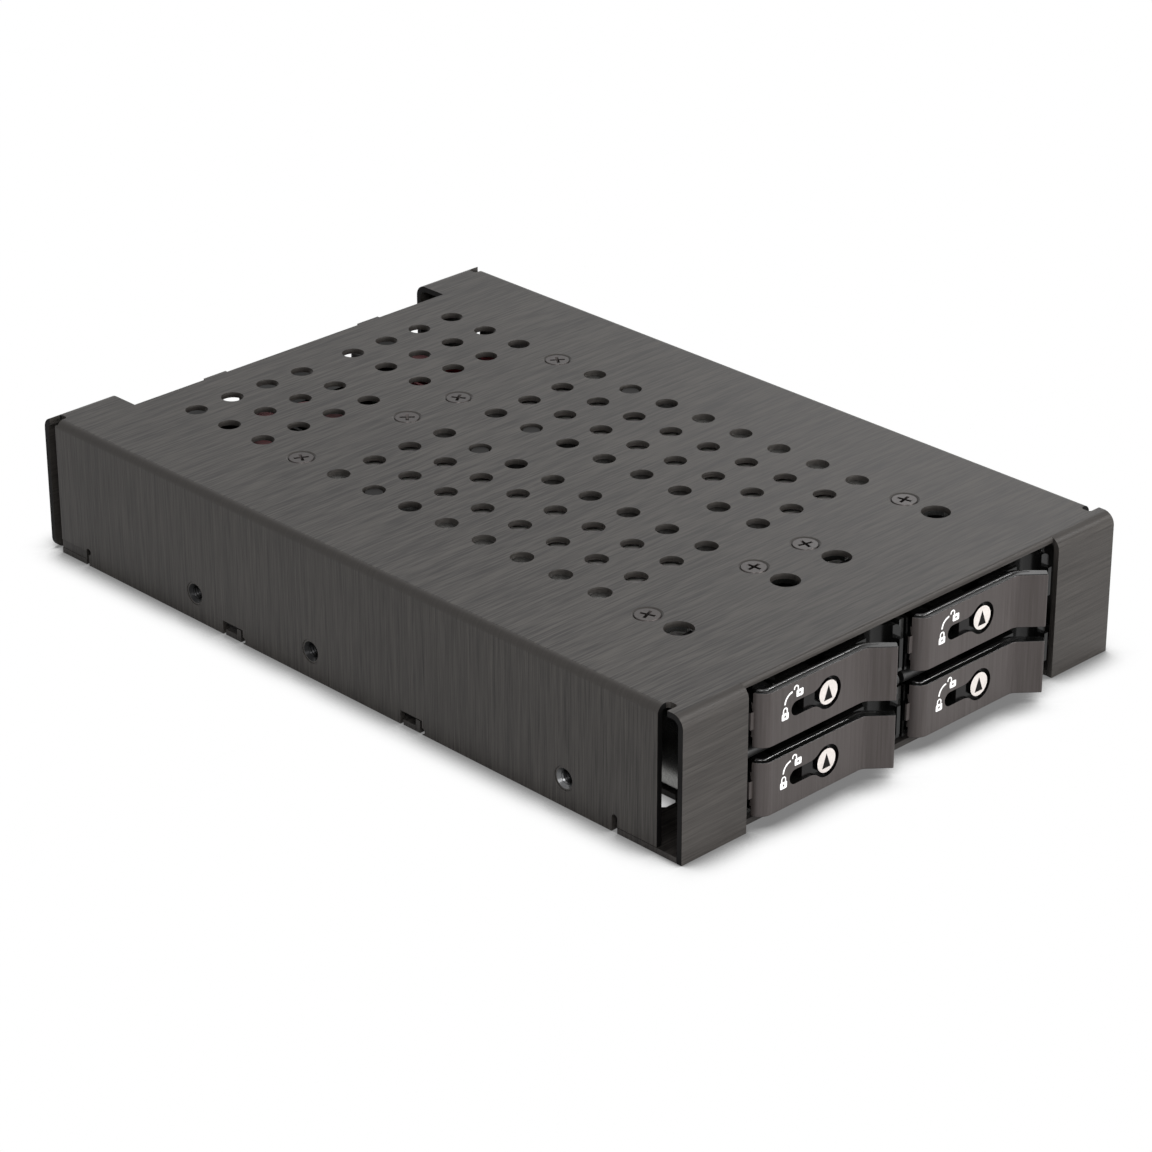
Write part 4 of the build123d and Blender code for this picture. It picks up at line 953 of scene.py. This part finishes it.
@dataclass
class InnerCage:
    """Channels, divider, shelves and ground clips, and which finish each node has."""

    channels: tuple[str, ...] = ("cage_channel_left", "cage_channel_right")
    divider: str = "cage_divider"
    shelves: tuple[str, ...] = ("guide_shelf_left", "guide_shelf_right")
    clips: str = "ground_clips"

    def build(self, finish: Palette) -> None:
        """Dresses the cage's nodes.

        Args:
            finish: The material of each finish.
        """
        for node in self.channels:
            # The channels carry the pale painted sheen
            dress_node(node, finish[PALE_CHANNEL_SHEEN])
        dress_node(self.divider, finish[CAGE])
        for node in self.shelves:
            dress_node(node, finish[BLACK_ABS])
        dress_node(self.clips, finish[SPRING])


@dataclass
class RearBoards:
    """Backplane, rear board and all that is soldered or screwed to them."""

    board_top: float = 11.4
    can_places: tuple[Pair, ...] = ((20.0, 60.8), (-16.7, 60.8), (-26.3, 52.0))
    can_r: float = 3.0
    can_top: float = 21.6
    chip_x: Pair = (-19.15, 14.15)
    chip_y: float = 51.6
    chip_top: float = 12.4
    sink_half: float = 3.5
    sink_base: float = 1.2
    fins: int = 5
    fin: float = 0.6
    fin_pitch: float = 1.6
    latch_x: float = 22.0
    latch_half: float = 6.1
    latch_y: Pair = (68.0, 75.6)
    latch_z: Pair = (16.4, 18.9)
    rim: float = 0.4

    def build(self, finish: Palette) -> None:
        """Dresses the boards and their parts.

        Args:
            finish: The material of each finish.
        """
        looks = {
            "backplane_board": BOARD,
            "io_board": BOARD,
            "card_sockets": NYLON,
            "power_connector": NYLON,
            "board_link": NYLON,
            "board_standoffs": NICKEL_BRASS,
            "io_board_screws": ZINC,
            "backplane_screws": ZINC,
            # The data connectors' shells carry the near black painted shade
            "data_connectors": SHADED_SHELL,
            "capacitors": CAN,
            "control_chips": RESIN,
        }
        for node, look in looks.items():
            dress_node(node, finish[look])
        self.cans(finish[CAN])
        self.heat_sinks(finish[SINK], finish[RESIN])
        self.latches(finish[NYLON])

    def cans(self, lacquer: Material) -> None:
        """Adds three tall cans that are seen through the rear vents.

        Args:
            lacquer: Their material.
        """
        mesh = bmesh.new()
        tall = self.can_top - self.board_top
        for x, y in self.can_places:
            made = bmesh.ops.create_cone(
                mesh, cap_ends=True, segments=32, radius1=self.can_r, radius2=self.can_r, depth=tall
            )["verts"]
            bmesh.ops.translate(mesh, vec=(x, y, self.board_top + tall / 2), verts=made)
        rims = [e for e in mesh.edges if e.calc_face_angle(0) > 1.0]
        self.round_off(mesh, rims)
        add_piece(to_metres(mesh), "tall_cans", "chassis", [lacquer])

    def heat_sinks(self, anodised: Material, dark: Material) -> None:
        """Adds a finned heat sink on each control chip, red on the right and black on the left.

        Args:
            anodised: Material of the right one.
            dark: Material of the left one.
        """
        mesh = bmesh.new()
        half, base = self.sink_half, self.chip_top + self.sink_base
        front, back = self.chip_y - half, self.chip_y + half
        for x in self.chip_x:
            add_box(mesh, (x - half, front, self.chip_top), (x + half, back, base))
            for number in range(self.fins):
                left = x - half + number * self.fin_pitch
                add_box(mesh, (left, front, base), (left + self.fin, back, self.can_top))
        for face in mesh.faces:
            face.material_index = int(face.calc_center_median().x < 0)
        materials = [anodised, dark]
        add_piece(to_metres(mesh), "chip_heat_sinks", "chassis", materials)

    def latches(self, nylon: Material) -> None:
        """Adds the plug latches on the two upper data connectors.

        Args:
            nylon: Their material.
        """
        mesh = bmesh.new()
        (front, back), (low, high) = self.latch_y, self.latch_z
        for x in (-self.latch_x, self.latch_x):
            add_box(mesh, (x - self.latch_half, front, low), (x + self.latch_half, back, high))
        self.round_off(mesh, mesh.edges[:])
        add_piece(to_metres(mesh), "plug_latches", "chassis", [nylon])

    def round_off(self, mesh: Mesh, edges: list[Edge]) -> None:
        """Rounds edges of a can or a latch.

        Args:
            mesh: Their mesh, in millimetres.
            edges: The edges.
        """
        bmesh.ops.bevel(
            mesh,
            geom=edges,
            offset=self.rim,
            affect="EDGES",
            segments=3,
            profile=0.5,
            material=-1,
        )


@dataclass
class LeverSigns:
    """Generic padlock signs and the arc between them, printed on a lever.

    Places are counted from the middle of the lever's bay and slot.
    """

    face_y: float = -76.65
    ink: float = 0.02
    closed_at: Pair = (-11.5, -0.55)
    open_at: Pair = (-8.3, 2.5)
    body: Pair = (0.76, 0.6)
    body_squareness: float = 0.3
    keyhole: float = 0.22
    shackle: float = 0.42
    leg: float = 0.42
    open_foot: float = 0.3
    line: float = 0.23
    arc_centre: Pair = (-9.65, 1.45)
    arc_r: Pair = (1.95, 1.75)
    arc_turn: float = 80.0
    arc_half: float = 0.15

    def build(self, bay: str, x: float, z: float, white: Material) -> None:
        """Prints the signs of one lever.

        Args:
            bay: The bay's name.
            x: Middle of the bay.
            z: Middle of the slot.
            white: The ink.
        """
        mesh = bmesh.new()
        self.padlock(mesh, (x + self.closed_at[0], z + self.closed_at[1]), closed=True)
        self.padlock(mesh, (x + self.open_at[0], z + self.open_at[1]), closed=False)
        arc = []
        for step in range(11):
            angle = math.radians(180 - self.arc_turn * step / 10)
            px = self.arc_centre[0] + self.arc_r[0] * math.cos(angle)
            pz = self.arc_centre[1] + self.arc_r[1] * math.sin(angle)
            arc.append((x + px, z + pz))
        self.stroke(mesh, arc, self.arc_half)
        add_piece(mesh, f"lever_signs_{bay}", f"lever_{bay}", [white])

    def padlock(self, mesh: Mesh, centre: Pair, closed: bool) -> None:
        """Adds a padlock sign: a filled body with a keyhole, and a shackle.

        Args:
            mesh: The mesh that takes it.
            centre: Middle of the padlock's body.
            closed: Whether the shackle is shut.
        """
        hole = bmesh.ops.create_circle(mesh, cap_ends=False, radius=self.keyhole, segments=24)
        edges = list({e for v in hole["verts"] for e in v.link_edges})
        outer = verts_of(bmesh.ops.extrude_edge_only(mesh, edges=edges)["geom"])
        for vert in outer:
            way = vert.co.xy.normalized()
            vert.co.x = math.copysign(self.body[0] * abs(way.x) ** self.body_squareness, way.x)
            vert.co.y = math.copysign(self.body[1] * abs(way.y) ** self.body_squareness, way.y)
        for vert in hole["verts"] + outer:
            px, pz = centre[0] + vert.co.x, centre[1] + vert.co.y
            vert.co = Vector((px * MM, self.face_y * MM, pz * MM))
        self.thicken(mesh, list({f for v in outer for f in v.link_faces}))
        shift = 0.0 if closed else -self.body[0] * 1.1
        foot = 0.0 if closed else self.open_foot
        top = self.body[1] + self.leg
        loop = [(shift - self.shackle, self.body[1] - 0.05 + foot)]
        for step in range(13):
            angle = math.radians(180 - 15 * step)
            px = shift + self.shackle * math.cos(angle)
            loop.append((px, top + self.shackle * math.sin(angle)))
        loop.append((shift + self.shackle, self.body[1] - 0.1))
        self.stroke(mesh, [(centre[0] + px, centre[1] + pz) for px, pz in loop], self.line / 2)

    def stroke(self, mesh: Mesh, path: Iterable[Pair], half: float) -> None:
        """Adds an inked line along a path on the lever's face.

        Args:
            mesh: The mesh that takes it.
            path: Points x and z.
            half: Half of the line's width.
        """
        points = [Vector(p) for p in path]
        rows = []
        for i, point in enumerate(points):
            ahead = points[min(i + 1, len(points) - 1)] - points[max(i - 1, 0)]
            across = ahead.normalized().orthogonal() * half
            ends = (point + across, point - across)
            rows.append([mesh.verts.new((p.x * MM, self.face_y * MM, p.y * MM)) for p in ends])
        quads = [mesh.faces.new((a[0], a[1], b[1], b[0])) for a, b in zip(rows, rows[1:])]
        self.thicken(mesh, quads)

    def thicken(self, mesh: Mesh, faces: list[Face]) -> None:
        """Turns flat faces to the front and gives them the ink's thickness.

        Args:
            mesh: Their mesh.
            faces: The faces.
        """
        for face in faces:
            face.normal_update()
            if face.normal.y > 0:
                face.normal_flip()
        grown = verts_of(bmesh.ops.extrude_face_region(mesh, geom=faces)["geom"])
        bmesh.ops.translate(mesh, vec=(0, -self.ink * MM, 0), verts=grown)


@dataclass
class CardTray:
    """One tray with its lever, turn lock, window and signs.

    Places are counted from the middle of the bay and the slot, x and z.
    """

    bay: str
    x: float
    z: float
    face_y: float = -76.65
    outline_z: float = 4.7
    front_bevel: float = 0.28
    lever_bevel: float = 0.18
    window_bevel: float = 0.06
    window_z: float = 3.0
    face_depth: float = 0.35
    knuckle_x: float = -12.5
    lock_x: float = -1.65
    lock_step: float = 0.1
    arrow_half: Pair = (0.96, 1.27)
    arrow_y: float = 0.28
    arrow_depth: float = 0.295
    lip_r: float = 0.3
    lip_z: float = 4.54
    pin: Pair = (-14.1, -74.1)
    knuckle_r: float = 1.3
    lip_path: tuple[Pair, ...] = (
        (-10.0, -75.4), (-4.0, -75.4), (2.0, -75.4), (6.4, -75.4), (7.4, -75.75), (9.0, -77.1),
    )
    signs: LeverSigns = field(default_factory=LeverSigns)

    def build(self, finish: Palette) -> None:
        """Dresses the tray's nodes and makes its fine pieces.

        Args:
            finish: The material of each finish.
        """
        looks = {
            "tray_base": CAST,
            "tray_lid": SPREADER,
            "lid_screws": SCREW,
            "lever_pin": NUT,
            "light_pipe": ACRYLIC,
            "status_lens": SMOKED,
        }
        for node, look in looks.items():
            dress_node(f"{node}_{self.bay}", finish[look])
        self.front(finish[GLOSS_ABS])
        self.knob(finish[LOCK], finish[NUT])
        self.handle(finish[LEVER], finish[GLOSS_ABS])
        self.signs.build(self.bay, self.x, self.z, finish[INK_WHITE])
        self.arrow(finish[INK_BLACK])
        self.lip(finish[WORN_ABS])

    def on_outline(self, edge: Edge) -> bool:
        """Whether an edge lies in the upper or lower face of the lever or the bezel.

        Args:
            edge: The edge.

        Returns:
            True where both of its ends do.
        """
        return all(abs(v.co.z / MM - self.z) > self.outline_z for v in edge.verts)

    def in_window(self, edge: Edge) -> bool:
        """Whether an edge borders the openings in the lever's face.

        Args:
            edge: The edge.

        Returns:
            True where both of its ends do.
        """
        return all(
            abs(v.co.y / MM - self.face_y) < 0.01 and abs(v.co.z / MM - self.z) < self.window_z
            for v in edge.verts
        )

    def front(self, black: Material) -> None:
        """Rounds the edges of the tray's bezel.

        Args:
            black: Its material.
        """
        node, body = f"tray_bezel_{self.bay}", f"tray_{self.bay}"
        mesh = merged_copy(node)
        soften(mesh, self.front_bevel, 4, self.on_outline)
        piece = add_piece(mesh, f"tray_front_{self.bay}", body, [black])
        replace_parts(piece, node)

    def knob(self, satin: Material, dark: Material) -> None:
        """Gives the turn lock a satin face on a blackened body.

        Args:
            satin: Material of the face.
            dark: Material of its rim and shaft.
        """
        node, body = f"lock_knob_{self.bay}", f"lock_{self.bay}"
        face_y = self.face_y + self.lock_step
        mesh = merged_copy(node)
        for face in mesh.faces:
            near = abs(face.calc_center_median().y / MM - face_y) < self.face_depth
            face.material_index = 0 if face.normal.y < -0.9 and near else 1
        piece = add_piece(mesh, f"lock_face_{self.bay}", body, [satin, dark])
        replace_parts(piece, node)

    def handle(self, brushed: Material, black: Material) -> None:
        """Rounds the lever and gives it a brushed face on a black body.

        Args:
            brushed: Material of the face.
            black: Material of the body.
        """
        body = f"lever_{self.bay}"
        mesh = merged_copy(body)
        soften(mesh, self.lever_bevel, 3, self.on_outline)
        soften(mesh, self.window_bevel, 2, self.in_window)
        for face in mesh.faces:
            centre, normal = face.calc_center_median() / MM, face.normal
            shallow = centre.y < self.face_y + self.face_depth or centre.x < self.x + self.knuckle_x
            forward = normal.y < -0.15 and abs(normal.z) < 0.6 and normal.x < 0.5
            face.material_index = 0 if forward and shallow else 1
        piece = add_piece(mesh, f"{body}_rounded", body, [brushed, black])
        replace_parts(piece, body)

    def lip(self, black: Material) -> None:
        """Sweeps the moulded lip along the top of the lever, behind its face, as a bead.

        Args:
            black: Its material.
        """
        mesh = bmesh.new()
        arc = [math.radians(190 + 10 * step) for step in range(9)]
        round_knuckle = [
            (self.pin[0] + self.knuckle_r * math.cos(a), self.pin[1] + self.knuckle_r * math.sin(a))
            for a in arc
        ]
        places, top = (*round_knuckle, *self.lip_path), self.z + self.lip_z
        path = [Vector((self.x + px, py, top)) for px, py in places]
        ring = bmesh.ops.create_circle(mesh, cap_ends=True, radius=self.lip_r, segments=10)["verts"]
        bmesh.ops.transform(mesh, matrix=Matrix.Rotation(math.pi / 2, 4, "X"), verts=ring)
        edges = list({e for v in ring for e in v.link_edges})
        here, old = Vector((0.0, 0.0, 0.0)), Vector((0.0, -1.0, 0.0))
        for i, there in enumerate(path):
            way = (path[min(i + 1, len(path) - 1)] - path[max(i - 1, 0)]).normalized()
            if i:
                grown = bmesh.ops.extrude_edge_only(mesh, edges=edges)["geom"]
                ring, edges = verts_of(grown), edges_of(grown)
            turn = old.rotation_difference(way).to_matrix().to_4x4()
            move = Matrix.Translation(there) @ turn @ Matrix.Translation(-here)
            bmesh.ops.transform(mesh, matrix=move, verts=ring)
            here, old = there, way
        bmesh.ops.contextual_create(mesh, geom=edges)
        bmesh.ops.recalc_face_normals(mesh, faces=mesh.faces)
        name, body = f"lever_lip_{self.bay}", f"lever_{self.bay}"
        add_piece(to_metres(mesh), name, body, [black], smooth_deg=60.0)

    def arrow(self, black: Material) -> None:
        """Fills the engraved arrow of the turn lock with enamel.

        Args:
            black: The enamel.
        """
        mesh = bmesh.new()
        x, y = self.x + self.lock_x, self.face_y + self.lock_step + self.arrow_y
        half, tall = self.arrow_half
        corners = [(x - half, self.z - tall), (x + half, self.z - tall), (x, self.z + tall)]
        face = mesh.faces.new([mesh.verts.new((px * MM, y * MM, pz * MM)) for px, pz in corners])
        grown = verts_of(bmesh.ops.extrude_face_region(mesh, geom=[face])["geom"])
        bmesh.ops.translate(mesh, vec=(0, -self.arrow_depth * MM, 0), verts=grown)
        bmesh.ops.recalc_face_normals(mesh, faces=mesh.faces)
        add_piece(mesh, f"lock_arrow_{self.bay}", f"lock_{self.bay}", [black])


@dataclass(frozen=True)
class SoftBox:
    """A square lamp. Places and size are in metres, its power in watts."""

    name: str
    place: Point
    aim: Point
    size: float
    watts: float

    def build(self) -> None:
        """Adds the lamp and turns it to its aim."""
        data = bpy.data.lights.new(self.name, "AREA")
        data.shape, data.size, data.energy = "SQUARE", self.size, self.watts
        lamp = bpy.data.objects.new(self.name, data)
        bpy.context.scene.collection.objects.link(lamp)
        lamp.location = self.place
        away = Vector(self.place) - Vector(self.aim)
        lamp.rotation_euler = away.to_track_quat("Z", "Y").to_euler()


@dataclass
class Studio:
    """Floor, lamps, world and the camera of the photograph."""

    azimuth: float = -44.191
    elevation: float = 26.206
    roll: float = -0.109
    camera_mm: Point = (-416.13, -428.55, 298.88)
    lens: float = 121.47
    shadow_m: float = 0.0073
    shadow_from: Pair = (0.45, 0.98)
    shadow_to: Pair = (0.2, 1.0)
    sky: Pair = (0.3, 1.0)
    floor_drop_m: float = 0.00005
    lamps: tuple[SoftBox, ...] = (
        SoftBox("key_lamp", (0.15, 0.4, 0.75), (0, 0, 0), 0.5, 0.5),
        SoftBox("edge_lamp", (0.57, -0.45, 0.58), (0, -0.07, 0.02), 0.14, 1.8),
        SoftBox("fill_lamp", (-0.45, -0.47, 0.6), (0, -0.02, 0), 0.3, 1.9),
        SoftBox("sheen_lamp", (0.9, 0.55, 0.55), (0.03, 0, 0.02), 0.4, 0.7),
        SoftBox("front_lamp", (0.15, -0.9, 0.25), (0, -0.02, 0.01), 0.6, 8.4),
        SoftBox("side_lamp", (-0.3, -0.17, 0.1), (-0.05, -0.06, 0.012), 0.12, 0.14),
    )

    def build(self) -> None:
        """Sets up the whole studio."""
        self.camera()
        self.floor()
        self.world()
        for lamp in self.lamps:
            lamp.build()
        bpy.context.scene.view_settings.view_transform = "Standard"

    def camera(self) -> None:
        """Places the camera by its angles and its point."""
        az, el, roll = (math.radians(v) for v in (self.azimuth, self.elevation, self.roll))
        flat = math.cos(el)
        back = Vector((math.sin(az) * flat, -math.cos(az) * flat, math.sin(el)))
        right = Vector((math.cos(az), math.sin(az), 0))
        up = back.cross(right)
        side = right * math.cos(roll) + up * math.sin(roll)
        top = up * math.cos(roll) - right * math.sin(roll)
        data = bpy.data.cameras.new("photo_camera")
        data.lens, data.sensor_width, data.sensor_fit = self.lens, 36.0, "HORIZONTAL"
        data.clip_start, data.clip_end = 0.01, 20.0
        camera = bpy.data.objects.new("photo_camera", data)
        bpy.context.scene.collection.objects.link(camera)
        turn = Matrix((side, top, back)).transposed().to_4x4()
        camera.matrix_world = Matrix.Translation(Vector(self.camera_mm) * MM) @ turn
        bpy.context.scene.camera = camera

    def floor(self) -> None:
        """A pale floor that turns to the white of the backdrop, and keeps the shadow."""
        mesh = bmesh.new()
        bmesh.ops.create_grid(mesh, x_segments=2, y_segments=2, size=3.0)
        data = bpy.data.meshes.new("studio_floor")
        mesh.to_mesh(data)
        mesh.free()
        material = bpy.data.materials.new("white_paper_floor")
        material.use_nodes = True
        tree = material.node_tree
        tree.nodes.clear()
        out = add_node(tree, "ShaderNodeOutputMaterial")
        open_air = {"Distance": self.shadow_m}
        near = add_node(tree, "ShaderNodeAmbientOcclusion", open_air, samples=16)
        tone = add_node(
            tree,
            "ShaderNodeMapRange",
            {
                "Value": near.outputs["AO"],
                "From Min": self.shadow_from[0],
                "From Max": self.shadow_from[1],
                "To Min": self.shadow_to[0],
                "To Max": self.shadow_to[1],
            },
            interpolation_type="SMOOTHSTEP",
        )
        paper = add_node(tree, "ShaderNodeBsdfDiffuse", {"Color": (0.8, 0.8, 0.8, 1)})
        light = {"Color": (1, 1, 1, 1), "Strength": tone.outputs[0]}
        glow = add_node(tree, "ShaderNodeEmission", light)
        inputs = {0: direct_view(tree), 1: paper.outputs[0], 2: glow.outputs[0]}
        mixed = add_node(tree, "ShaderNodeMixShader", inputs)
        tree.links.new(mixed.outputs[0], out.inputs["Surface"])
        data.materials.append(material)
        floor = bpy.data.objects.new("studio_floor", data)
        bpy.context.scene.collection.objects.link(floor)
        floor.location.z = -self.floor_drop_m

    def world(self) -> None:
        """White to the camera, soft and plain to the object."""
        world = bpy.data.worlds.new("studio_world")
        bpy.context.scene.world = world
        world.use_nodes = True
        tree = world.node_tree
        tree.nodes.clear()
        out = add_node(tree, "ShaderNodeOutputWorld")
        strength = add_node(
            tree,
            "ShaderNodeMapRange",
            {"Value": direct_view(tree), "To Min": self.sky[0], "To Max": self.sky[1]},
        )
        inputs = {"Color": (1, 1, 1, 1), "Strength": strength.outputs[0]}
        sky = add_node(tree, "ShaderNodeBackground", inputs)
        tree.links.new(sky.outputs[0], out.inputs["Surface"])


# Each bay's name, and the middle of its bay and slot in millimetres
BAYS = (
    ("upper_left", -18.15, 18.7),
    ("upper_right", 18.15, 18.7),
    ("lower_left", -18.15, 6.7),
    ("lower_right", 18.15, 6.7),
)


def main() -> None:
    """Builds every sub-assembly, then the studio."""
    logging.basicConfig(level=logging.INFO, format="%(name)s: %(message)s")
    finish = {look: look.build() for look in FINISHES}
    CoverShell().build(finish)
    InnerCage().build(finish)
    RearBoards().build(finish)
    for bay, x, z in BAYS:
        CardTray(bay, x, z).build(finish)
    Studio().build()


if __name__ == "__main__":
    main()
